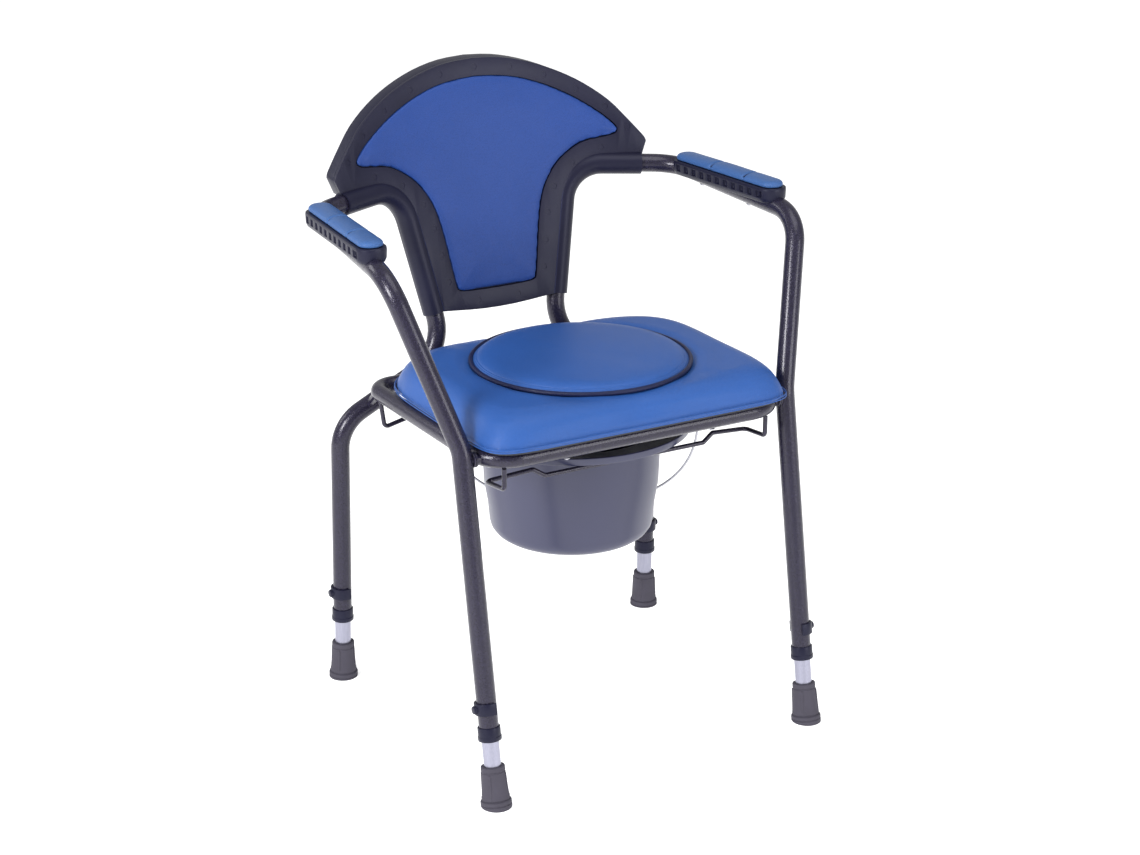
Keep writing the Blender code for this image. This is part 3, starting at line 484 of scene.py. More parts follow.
def stuffed(mesh, voxel, cap, free, pressure=4.0, calm=3):
    """A cover blown up by its filling: evened out, swelled as cloth, no point further than cap times free(point)."""
    obj = held(mesh)
    even = obj.modifiers.new("even", "REMESH")
    even.mode, even.voxel_size = "VOXEL", voxel
    bm = opened(baked(obj))
    settle(bm, 1)
    mesh = meshed(bm)
    start = [vert.co.copy() for vert in mesh.vertices]
    obj = held(mesh)
    cloth = obj.modifiers.new("filling", "CLOTH")
    cloth.settings.quality = 4
    cloth.settings.mass = 0.3
    cloth.settings.use_pressure = True
    cloth.settings.uniform_pressure_force = pressure
    cloth.settings.effector_weights.gravity = 0
    cloth.point_cache.frame_start, cloth.point_cache.frame_end = 1, CLOTH_FRAMES
    for number in range(1, CLOTH_FRAMES + 1):
        bpy.context.scene.frame_set(number)
    made = baked(obj)
    for vert, origin in zip(made.vertices, start):
        move = vert.co - origin
        limit = cap * free(origin)
        vert.co = origin + (move * (limit / move.length) if move.length > limit else move)
    bpy.context.scene.frame_set(1)
    bm = opened(made)
    settle(bm, calm)
    return meshed(bm)


def smoothed(obj, levels=1):
    step = obj.modifiers.new("soften", "SUBSURF")
    step.levels = step.render_levels = levels


def ease(value, low, high):
    t = min(1.0, max(0.0, (value - low) / (high - low)))
    return t * t * (3 - 2 * t)


def mirrored(point, side):
    return Vector((point[0] * side, point[1], point[2]))


def flowing(points, steps=4):
    """An open outline drawn smoothly through its points."""
    ends = [points[0], *points, points[-1]]
    made = []
    for a, b, c, d in zip(ends, ends[1:], ends[2:], ends[3:]):
        for step in range(steps):
            t = step / steps
            made.append(tuple(
                0.5 * (2 * q + (r - p) * t + (2 * p - 5 * q + 4 * r - s) * t * t + (3 * q - p - 3 * r + s) * t ** 3)
                for p, q, r, s in zip(a, b, c, d)
            ))
    return made + [tuple(points[-1])]


# ---- where things are ----------------------------------------------------------------------------
LEG_X = 0.234
FRONT_FOOT, KINK = Vector((0.2324, -0.245, 0)), Vector((LEG_X, -0.1695, 0.4416))
ARM_FRONT, ARM_REAR = Vector((0.2935, -0.100, 0.648)), Vector((0.271, 0.157, 0.664))
REAR_FOOT, REAR_BEND = Vector((0.2419, 0.183, 0)), Vector((0.2385, 0.1734, 0.368))
WING_CORNER = 0.1266, 0.671  # where the side tube turns down behind the backrest
BENDS = (0.060, 0.054, 0.055, 0.052, 0.066, 0.055)
COLLAR_BOTTOM, PIN_HEIGHT, TUBE_GAP = 0.085, 0.127, 0.003
RAIL_HEIGHT = 0.430
BACK_FRONT, BACK_LEAN, BACK_RADIUS = 0.1914, 0.2056, 0.735
SEAM_INSET = 0.0092
PLUG_Y, BUCKET_Y = -0.050, -0.025
BUCKET_TURN, HANDLE_HANG, HANDLE_HEIGHT = math.radians(-31), math.radians(35), 0.3948
ARM_MIDDLE = 0.042
ARM_GROOVES = (-0.048, 0.022)
POCKET_PITCHES, POCKET_RUN = 21, 0.177
PAD_EDGE = (
    (0.000, 0.7995), (0.035, 0.7970), (0.067, 0.7912), (0.100, 0.7800), (0.130, 0.7660),
    (0.155, 0.7510), (0.176, 0.7360), (0.190, 0.7235), (0.1955, 0.7155), (0.1925, 0.7090),
    (0.180, 0.7058), (0.150, 0.7015), (0.130, 0.6930), (0.110, 0.6790), (0.095, 0.6620),
    (0.084, 0.6430), (0.077, 0.6220), (0.0715, 0.5960), (0.066, 0.5620), (0.0605, 0.5310),
    (0.0575, 0.5265), (0.052, 0.5245), (0.028, 0.5228), (0.000, 0.5224),
)
DIMPLES = (
    (0.0, 0.8110), (0.052, 0.8065), (0.100, 0.7925), (0.143, 0.7715), (0.181, 0.7450), (0.209, 0.7165), (0.170, 0.6915),
    (0.128, 0.6740), (0.0985, 0.6450), (0.0860, 0.6120), (0.0790, 0.5760), (0.0725, 0.5400), (0.0300, 0.5095),
)
FRAME_TOP = (
    (0.000, 0.8225), (0.040, 0.8198), (0.080, 0.8110), (0.120, 0.7962), (0.155, 0.7775),
    (0.187, 0.7535), (0.210, 0.7278), (0.224, 0.7108), (0.2308, 0.7018), (0.2325, 0.6965),
)


def back_face(x, z):
    """How far back the backrest's front face is."""
    return BACK_FRONT + BACK_LEAN * (z - 0.600) - x * x / (2 * BACK_RADIUS)


def back_axis(x, z, extra=0.0):
    """Where the side tube's axis runs behind that face."""
    return Vector((x, back_face(x, z) + 0.0144 + extra, z))


WING, WAIST = back_axis(*WING_CORNER, 0.004), back_axis(0.083, 0.447)


def side_path(side):
    front_up, rear_up = (KINK - FRONT_FOOT).normalized(), (REAR_BEND - REAR_FOOT).normalized()
    corners = (
        FRONT_FOOT + front_up * (COLLAR_BOTTOM + TUBE_GAP), KINK, ARM_FRONT, ARM_REAR, WING, WAIST, REAR_BEND,
        REAR_FOOT + rear_up * (COLLAR_BOTTOM + TUBE_GAP),
    )
    return bent([mirrored(corner, side) for corner in corners], BENDS)


def sleeve_path(side, steps=12):
    out, down = (ARM_REAR - WING).normalized(), (WAIST - WING).normalized()
    start = WING + out * ((0.2235 - WING.x) / out.x)
    end = WING + down * ((0.500 - WING.z) / down.z)
    return bent([mirrored(p, side) for p in (start, WING, end)], (BENDS[3],), steps)


def cover_path(side, steps=16):
    """The middle line of the channel's front, which lies nearly flush with the face frame."""
    path = sleeve_path(1, 1)
    forward = Vector((0, -0.0014, 0))
    corners = (path[0] + forward, back_axis(*WING_CORNER, -0.0006), path[-1] + forward)
    return bent([mirrored(p, side) for p in corners], (BENDS[3],), steps)


def rail_path():
    x, low, high, z, wide = 0.210, -0.197, 0.126, RAIL_HEIGHT, 0.2125
    corners = ((0, low, z), (x, low, z), (wide, high, z), (-wide, high, z), (-x, low, z), (0, low, z))
    return bent([Vector(p) for p in corners], (0.045, 0.028, 0.028, 0.045))[:-1]


def leg_frame(which, side):
    """A leg's own frame: its origin on the floor, its Z up the leg."""
    foot, aim = {"front": (FRONT_FOOT, KINK), "rear": (REAR_FOOT, REAR_BEND)}[which]
    foot, aim = mirrored(foot, side), mirrored(aim, side)
    up = (aim - foot).normalized()
    across = (Vector((1, 0, 0)) - up * up.x).normalized()
    return Matrix.Translation(foot) @ Matrix((across, up.cross(across), up)).transposed().to_4x4()


def closed_outline(half):
    """An outline from its right half and that half's mirror image."""
    return list(half) + [(-x, z) for x, z in reversed(half) if x > 1e-9]


def seam_points():
    """The line where the face frame meets the channel's cover."""
    path, points = sleeve_path(1, 8), []
    for here, ahead in zip(path, path[1:]):
        along = Vector((ahead.x - here.x, ahead.z - here.z)).normalized()
        inward = Vector((along.y, -along.x))
        inward = -inward if inward.y < 0 < inward.x else inward
        points.append((here.x + inward.x * SEAM_INSET, here.z + inward.y * SEAM_INSET))
    return points + [(path[-1].x - SEAM_INSET, path[-1].z + 0.003)]


def frame_outline():
    return closed_outline(flowing(FRAME_TOP, 3) + seam_points() + [(0.045, 0.4987), (0.022, 0.4970), (0.0, 0.4965)])


def pad_outline():
    return closed_outline(flowing(PAD_EDGE, 3))


def moved_in(outline, inset):
    """The outline with each point that far inwards."""
    made, count = [], len(outline)
    area = sum(outline[i - 1][0] * outline[i][1] - outline[i][0] * outline[i - 1][1] for i in range(count))
    for i, (x, z) in enumerate(outline):
        before, after = outline[i - 1], outline[(i + 1) % count]
        first = Vector((x - before[0], z - before[1])).normalized()
        second = Vector((after[0] - x, after[1] - z)).normalized()
        normal = Vector((-(first.y + second.y), first.x + second.x)).normalized() * math.copysign(1, area)
        made.append((x + normal.x * inset, z + normal.y * inset))
    return made


def face_plate(outline, front, thick, hole=None):
    """A plate that follows the backrest's face, its front that far behind it, with a hole if one is given."""
    curve = bpy.data.curves.new("outline", "CURVE")
    curve.dimensions, curve.fill_mode = "2D", "BOTH"
    for loop in [outline] + ([hole] if hole else []):
        spline = curve.splines.new("POLY")
        spline.points.add(len(loop) - 1)
        for point, (x, z) in zip(spline.points, loop):
            point.co = (x, z, 0, 1)
        spline.use_cyclic_u = True
    bm = opened(baked(held(curve)))
    bmesh.ops.remove_doubles(bm, verts=bm.verts, dist=MERGE)
    bmesh.ops.dissolve_limit(bm, angle_limit=0.01, verts=bm.verts, edges=bm.edges)
    for step in range(-19, 20):
        bmesh.ops.bisect_plane(
            bm, geom=bm.verts[:] + bm.edges[:] + bm.faces[:], dist=1e-5,
            plane_co=(step * 0.012 + 0.0003, 0, 0), plane_no=(1, 0, 0),
        )
    for vert in bm.verts:
        x, z = vert.co.x, vert.co.y
        vert.co = (x, back_face(x, z) + front, z)
    grown = bmesh.ops.extrude_face_region(bm, geom=bm.faces[:])["geom"]
    bmesh.ops.translate(bm, vec=(0, thick, 0), verts=[v for v in grown if isinstance(v, bmesh.types.BMVert)])
    return meshed(bm)


def seat_outline(inset, count=96):
    """The seat cushion's outline from above, rounder at the back than at the front."""
    seat = bpy.context.scene.commode_seat
    low, high, half_x = seat.front + inset, seat.rear - inset, seat.half_width - inset
    middle, half_y, made = (low + high) / 2, (high - low) / 2, []
    for step in range(count):
        angle = 2 * math.pi * (step + 0.5) / count
        c, s = math.cos(angle), math.sin(angle)
        power = 2 / (4.2 if s > 0 else 10.0)
        x, y = math.copysign(abs(c) ** power, c), math.copysign(abs(s) ** power, s)
        made.append((half_x * x, middle + half_y * y))
    return made


def arm_line(y):
    return ARM_FRONT.x + (ARM_FRONT.x - ARM_REAR.x) / (ARM_FRONT.y - ARM_REAR.y) * (y - ARM_FRONT.y)


def arm_frame(side):
    """An armrest's own frame: its middle on the tube's line, its Y along the tube."""
    splay = math.atan2(ARM_REAR.x - ARM_FRONT.x, ARM_REAR.y - ARM_FRONT.y) * -side
    return Matrix.Translation((arm_line(ARM_MIDDLE) * side, ARM_MIDDLE, 0)) @ Matrix.Rotation(splay, 4, "Z")


def stadium(length, width, corner, arc=8, along=1):
    """A rectangle with round corners, its length along Y; its long sides are in that many stretches."""
    made = []
    for cx, cy, start in ((1, 1, 0), (-1, 1, 90), (-1, -1, 180), (1, -1, 270)):
        for step in range(arc + 1):
            angle = math.radians(start + 90 * step / arc)
            x, y = cx * (width / 2 - corner), cy * (length / 2 - corner)
            made.append((x + corner * math.cos(angle), y + corner * math.sin(angle)))
        if start in (90, 270):
            run = (length / 2 - corner) * cy
            made += [(cx * width / 2, run - 2 * run * step / along) for step in range(1, along)]
    return made


# ---- operators -----------------------------------------------------------------------------------
class COMMODE_OT_tubes(bpy.types.Operator):
    """Bend the two side tubes, the seat rail and the bucket's wires"""
    bl_idname, bl_label = "commode.tubes", "Tubes and wires"

    def execute(self, context):
        sizes = context.scene.commode_frame
        for name, side in SIDES:
            skin = walled(sweep(side_path(side), sizes.tube, 40, caps=False), sizes.wall)
            piece(f"bent_tube_{name}", skin, "hammered_paint", "chair", f"side_tube_{name}")
        piece("seat_rail", sweep(rail_path(), sizes.rail, 32, closed=True), "hammered_paint", "chair", "seat_frame")
        low, rail_under = 0.386, RAIL_HEIGHT - 0.0115
        front = (
            (0.189, -0.193, rail_under), (0.189, -0.193, low + 0.006), (0.190, -0.147, low + 0.001),
            (0.131, -0.159, low + 0.0095), (0.1155, -0.162, low),
        )
        rear = (
            (0.211, 0.104, rail_under), (0.207, 0.102, low - 0.004), (0.131, 0.109, low + 0.0095), (0.1155, 0.109, low),
        )
        for name, half in (("front", front), ("rear", rear)):
            corners = [Vector(p) for p in half] + [mirrored(p, -1) for p in reversed(half)]
            path = bent(corners, [0.006] * (len(corners) - 2), 8)
            piece(f"carrier_wire_{name}", sweep(path, sizes.wire, 20), "hammered_paint", "chair", f"bucket_wire_{name}")
        leg_y = KINK.y - (KINK.z - RAIL_HEIGHT) * (KINK.y - FRONT_FOOT.y) / KINK.z
        for name, side in SIDES:
            def across(start, end, back, *shape, **edge):
                places = ((start, leg_y - back[0], RAIL_HEIGHT), (end, leg_y - back[1], RAIL_HEIGHT))
                return rod(*(mirrored(place, side) for place in places), *shape, **edge)

            bead = bevelled(across(0.206, LEG_X, (0.003, 0), 0.0072), 0.001)
            rings = [across(x, x + 0.003, (0.002, 0.002), 0.0098, edge=0.0012) for x in (0.2175, 0.2205)]
            piece(f"weld_bead_{name}", joined(bead, *rings), "hammered_paint", "chair", f"front_weld_{name}")
        return {"FINISHED"}


class COMMODE_OT_backrest(bpy.types.Operator):
    """Mould the backrest's face frame, rear shell and channels"""
    bl_idname, bl_label = "commode.backrest", "Backrest frame"

    def execute(self, context):
        sizes = context.scene.commode_back
        edge, pad = frame_outline(), pad_outline()
        plate = bevelled(face_plate(edge, 0, sizes.face, moved_in(pad, -0.0003)), 0.0009, 3, 60)
        for x, z in DIMPLES:
            for sign in ((1, -1) if x else (1,)):
                face = Vector((x * sign, back_face(x, z), z))
                forward = Vector((-x * sign / BACK_RADIUS, -1, BACK_LEAN)).normalized()
                plate = cut(plate, rod(face + forward * 0.0020, face - forward * 0.0006, 0.0047, 24, 0.0041))
        piece("backrest_front", plate, "black_plastic", "chair", "backrest_face_frame")
        lines = []
        for _, side in SIDES:
            seam = [Vector((x * side, back_face(x, z) + 0.0005, z)) for x, z in seam_points()]
            lines.append(sweep(seam, 0.0009, 12))
        piece("backrest_joint_line", joined(*lines), "black_piping", "chair")
        tray = bevelled(face_plate(edge, sizes.face + 0.0003, sizes.depth - sizes.face - 0.0003), 0.0035, 4, 60)
        ribs = []
        for _, side in SIDES:
            ribs.append(walled(sweep(sleeve_path(side, 16), sizes.sleeve, 40, caps=False), 0.0022))
            ribs.append(walled(sweep(cover_path(side), sizes.sleeve, 40, caps=False), 0.0012))
        panel = bevelled(face_plate(moved_in(edge, 0.016), sizes.depth - 0.004, 0.0048), 0.0010, 3, 60)
        piece("backrest_shell", joined(tray, panel, *ribs), "black_plastic", "chair", "backrest_rear_shell")
        return {"FINISHED"}


class COMMODE_OT_back_pad(bpy.types.Operator):
    """Upholster the backrest's pad"""
    bl_idname, bl_label = "commode.back_pad", "Backrest pad"

    def execute(self, context):
        outline = pad_outline()
        edges = [(Vector(a), Vector(b) - Vector(a)) for a, b in zip(outline, outline[1:] + outline[:1])]

        def off_edge(place, start, run):
            part = (place - start).dot(run) / max(run.length_squared, 1e-12)
            return (place - start - run * min(1, max(0, part))).length

        def inside(x, z):
            """How far the place is from the pad's outline."""
            return min(off_edge(Vector((x, z)), *edge) for edge in edges)

        mesh = stuffed(
            face_plate(moved_in(outline, 0.0002), -0.0012, 0.0132), 0.0029, 0.0030,
            lambda p: ease(back_face(p.x, p.z) + 0.003 - p.y, 0.0, 0.004) * ease(inside(p.x, p.z), 0.0, 0.006), 2.0,
        )
        for vert in mesh.vertices:
            x, y, z = vert.co
            front = ease(back_face(x, z) + 0.004 - y, 0.0, 0.0045)
            if front:
                deep = inside(x, z)
                crown = 0.55 * (1 - math.exp(-deep / 0.0035)) + 0.45 * ease(deep, 0, 0.045)
                rise = context.scene.commode_back.proud * crown - 0.0010
                rise += 0.0005 * noise.noise(Vector((x, 0, z)) * 26)
                vert.co.y += (back_face(x, z) - rise - y) * front
        pad = piece("back_cushion", mesh, "blue_vinyl", "chair", "backrest_pad", sharp=180)
        pad.data.materials[0] = finish_of("back_vinyl")
        smoothed(pad)
        return {"FINISHED"}


class COMMODE_OT_seat(bpy.types.Operator):
    """Upholster the seat with its seams"""
    bl_idname, bl_label = "commode.seat", "Seat cushion"

    def execute(self, context):
        seat = context.scene.commode_seat
        bottom, top = seat.bottom, seat.top
        profile = (
            (0.006, 0.0), (0.0015, 0.0010), (0.0, 0.0035), (0.0012, 0.009), (0.0052, 0.018), (0.0100, 0.0265),
            (0.0165, 0.0335), (0.0250, 0.0380), (0.0380, 0.0408), (0.0520, 0.0418),
        )
        centre = Vector((0, PLUG_Y))
        wide = seat_outline(0)
        rings = [[(x, y, bottom + rise) for x, y in seat_outline(inset)] for inset, rise in profile]
        last = rings[-1]
        hole = [centre + (Vector(p) - centre).normalized() * 0.1325 for p in wide]
        for part, rise in ((0.35, 0.0422), (0.75, 0.0418), (0.94, 0.0408), (1.0, 0.0380)):
            rings.append([
                (a[0] + (b.x - a[0]) * part, a[1] + (b.y - a[1]) * part, bottom + rise) for a, b in zip(last, hole)
            ])
        rings.append([(p.x, p.y, bottom) for p in hole])
        rings.append(rings[0])

        def free(p):
            return ease(p.z, bottom + 0.006, bottom + 0.020) * ease((Vector((p.x, p.y)) - centre).length, 0.134, 0.175)

        mesh = stuffed(lofted(rings, closed=True), 0.0048, 0.0055, free, 3.0, 8)
        for vert in mesh.vertices:
            up = ease(vert.co.z, bottom + 0.010, bottom + 0.034)
            vert.co.z = min(vert.co.z, top + 0.0035) + up * 0.0007 * noise.noise(vert.co * 12)
            vert.co.z = max(vert.co.z, bottom)
        cushion = piece("seat_upholstery", mesh, "blue_vinyl", "chair", "seat_cushion", sharp=180)
        smoothed(cushion)
        seams = []
        for inset, rise in ((-0.0001, 0.0052), (0.0002, 0.0082)):
            seams.append(sweep([(x, y, bottom + rise) for x, y in seat_outline(inset, 160)], 0.0008, 8, closed=True))
        piece("seat_seams", joined(*seams), "blue_vinyl", "chair")
        return {"FINISHED"}


class COMMODE_OT_plug(bpy.types.Operator):
    """Upholster the lift-out plug, its piping and its sewn rings"""
    bl_idname, bl_label = "commode.plug", "Seat plug"

    def execute(self, context):
        seat = context.scene.commode_seat
        rim, top, bottom, radius = 0.4833, 0.4978, 0.4637, seat.plug
        edge, board = radius - 0.0018, 0.130
        profile = near(
            0, top, (0, 0.0006), (0.04, 0.0005), (0.075, 0.0002), (0.100, -0.0003), (0.114, -0.0009),
            (0.1225, -0.0020), (0.1280, -0.0036), (0.1312, -0.0054),
        )
        for groove, fall in ((0.1328, 0.0068), (0.1350, 0.0082), (0.1370, 0.0097)):
            profile += near(groove, top - fall, (-0.0006, 0.0002), (0, -0.0009), (0.0006, -0.0004))
        profile += [(edge, rim + 0.0020), (edge, rim), (board, rim), (board, bottom), (0, bottom)]
        mesh = placed(spun(profile, 128), Matrix.Translation((0, PLUG_Y, 0)))
        for vert in mesh.vertices:
            if vert.co.z > 0.4885:
                inside = 0.132 - math.hypot(vert.co.x, vert.co.y - PLUG_Y)
                vert.co.z += 0.0007 * noise.noise(vert.co * 20) * ease(inside, 0, 0.02)
        pad = piece("plug_upholstery", mesh, "blue_vinyl", "plug", "plug_cushion", sharp=60)
        smoothed(pad)
        turns = [2 * math.pi * step / 128 for step in range(128)]
        ring = [(radius * math.cos(a), PLUG_Y + radius * math.sin(a), rim + seat.welt) for a in turns]
        piece("plug_welt", sweep(ring, seat.welt + 0.0002, 16, closed=True), "black_piping", "plug", "plug_piping")
        return {"FINISHED"}


class COMMODE_OT_bucket(bpy.types.Operator):
    """Turn the bucket with its flange and ears, and bend its handle"""
    bl_idname, bl_label = "commode.bucket", "Bucket"

    def execute(self, context):
        sizes = context.scene.commode_bucket
        flange, mouth, foot, wall = sizes.flange, sizes.mouth, sizes.base, sizes.wall
        low, top = 0.3893, 0.3923
        bottom, middle = low - sizes.depth, (mouth + foot) / 2 + 0.0015
        profile = [
            *near(flange, top, (-0.0008, 0.0078), (0, 0.0070)),
            *near(flange, low, (-0.0012, 0.0030), (-0.0026, 0.0008), (-0.0044, 0)),
            *near(mouth, low, (0.010, 0), (0.0040, -0.0002), (0.0014, -0.0012), (0.0002, -0.0040), (-0.0004, -0.0120)),
            *near(mouth, low, (-0.0016, -0.0124)), *near(middle, low, (0.0012, -0.045), (0, -0.075)),
            *near(foot, bottom, (0.0022, 0.045), (0, 0.020), (-0.0018, 0.0130), (-0.006, 0.0070), (-0.012, 0.0028)),
            *near(foot, bottom, (-0.020, 0.0008), (-0.030, 0), (-0.050, 0)), (0, bottom), (0, bottom + wall),
            *near(foot, bottom, (-0.030, wall), (-0.014, 0.0060), (-0.0050, 0.0130), (-wall, 0.020)),
            (middle - wall, low - 0.075), *near(mouth - wall, top, (0, -0.004), (0.0015, -0.0008)), (mouth + 0.003, top),
            *near(flange, top, (-0.0070, 0), (-0.0044, 0.0012)), *near(flange - wall, top, (0, 0.0070), (0.0006, 0.0078)),
        ]
        place = Matrix.Translation((0, BUCKET_Y, 0)) @ Matrix.Rotation(BUCKET_TURN, 4, "Z")
        ears = []
        for side in (1, -1):
            bm = bmesh.new()
            bmesh.ops.create_cube(bm, size=1)
            bmesh.ops.scale(bm, vec=(0.0128, 0.012, top + 0.006 - low), verts=bm.verts)
            bmesh.ops.translate(bm, vec=(side * (flange - 0.0026), 0, (low + top + 0.006) / 2), verts=bm.verts)
            ears.append(bevelled(meshed(bm), 0.0012, 3))
        piece("pail", placed(joined(spun(profile, 96), *ears), place), "bucket_plastic", "bucket", "bucket", sharp=30)
        half, eye, drop, power = 0.1645, 0.1545, 0.198, 2 / 2.4
        points = [Vector((eye, 0, 0)), Vector((half, 0, 0))]
        for step in range(1, 64):
            angle = math.pi * step / 64
            out = math.copysign(abs(math.cos(angle)) ** power, math.cos(angle))
            points.append(Vector((half * out, 0, -drop * math.sin(angle) ** power)))
        points += [Vector((-half, 0, 0)), Vector((-eye, 0, 0))]
        swing = Matrix.Translation((0, BUCKET_Y, HANDLE_HEIGHT)) @ Matrix.Rotation(BUCKET_TURN, 4, "Z")
        swing = swing @ Matrix.Rotation(HANDLE_HANG, 4, "X")
        piece("pail_handle", placed(sweep(points, 0.0018, 16), swing), "bright_steel", "bail", "bucket_bail")
        return {"FINISHED"}


class COMMODE_OT_armrests(bpy.types.Operator):
    """Mould the armrest bases with their pockets and upholster the pads"""
    bl_idname, bl_label = "commode.armrests", "Armrests"

    def execute(self, context):
        sizes = context.scene.commode_arms
        low, top, height = sizes.bottom, sizes.top, sizes.top - sizes.bottom
        for name, side in SIDES:
            place = arm_frame(side)

            def ringed(length, width, corner, bottom, profile, along):
                rings = []
                for inset, rise in profile:
                    outline = stadium(length - 2 * inset, width - 2 * inset, corner - inset, 8, along)
                    rings.append([(x, y, bottom + rise) for x, y in outline])
                return lofted(rings)

            profile = (
                (0.0035, 0.0), (0.0022, 0.0012), (0.0006, 0.0050), (0.0004, 0.0062), (0.0, height - 0.0042),
                (0.0, height - 0.0030), (0.0004, height - 0.0008), (0.0014, height),
            )
            bm = opened(ringed(sizes.length, sizes.width, 0.0185, low, profile, POCKET_PITCHES))
            pockets = []
            for face in bm.faces:
                middle = face.calc_center_median()
                if abs(face.normal.x) > 0.99 and abs(middle.z - low - height / 2) < 0.003:
                    cell = int((middle.y + POCKET_RUN / 2) / (POCKET_RUN / POCKET_PITCHES))
                    if cell % 2 == 0:
                        pockets.append(face)
            bmesh.ops.inset_individual(bm, faces=pockets, thickness=0.0008, depth=-0.0030, use_even_offset=True)
            base = bevelled(meshed(bm), 0.0003, 1, 70)
            piece(f"armrest_moulding_{name}", placed(base, place), "black_plastic", "chair", f"armrest_base_{name}")
            pad_low = top + 0.0003
            profile = (
                (0.0012, 0.0), (0.0, 0.0008), (0.0002, 0.0040), (0.0018, 0.0062), (0.0044, 0.0076), (0.0080, 0.0084),
            )
            mesh = ringed(sizes.length - 0.007, sizes.width - 0.007, 0.0158, pad_low, profile, 24)
            mesh = stuffed(mesh, 0.0015, 0.0022, lambda p: ease(p.z, pad_low + 0.0015, pad_low + 0.006), 3.0)
            for vert in mesh.vertices:
                lift = ease(vert.co.z, pad_low + 0.0020, pad_low + 0.0055)
                for groove in ARM_GROOVES:
                    gap = abs(vert.co.y - groove)
                    vert.co.z -= 0.0034 * lift * math.exp(-(gap / 0.0019) ** 2)
                    vert.co.x *= 1 - 0.06 * math.exp(-(gap / 0.0022) ** 2)
                vert.co.z = max(pad_low, vert.co.z)
            # Thin near-black rods laid along the pads' grooves: painted shade in the grooves.
            lines = []
            for groove in ARM_GROOVES:
                row = [v.co for v in mesh.vertices if abs(v.co.y - groove) < 0.0012]
                path = []
                for step in range(-6, 7):
                    x = step * 0.0022
                    heights = [spot.z for spot in row if abs(spot.x - x) < 0.0016]
                    path.append(Vector((x, groove, max(heights, default=pad_low + 0.004) + 0.0005)))
                lines.append(placed(sweep(path, 0.0008, 8), place))
            piece(f"armrest_groove_shade_{name}", joined(*lines), "black_piping", "chair")
            mesh = placed(mesh, place)
            pad = piece(f"armrest_cushion_{name}", mesh, "blue_vinyl", "chair", f"armrest_pad_{name}", sharp=180)
            # The paler vinyl paints the pads' highlight into their colour.
            pad.data.materials[0] = finish_of("pale_vinyl")
            smoothed(pad)
        return {"FINISHED"}


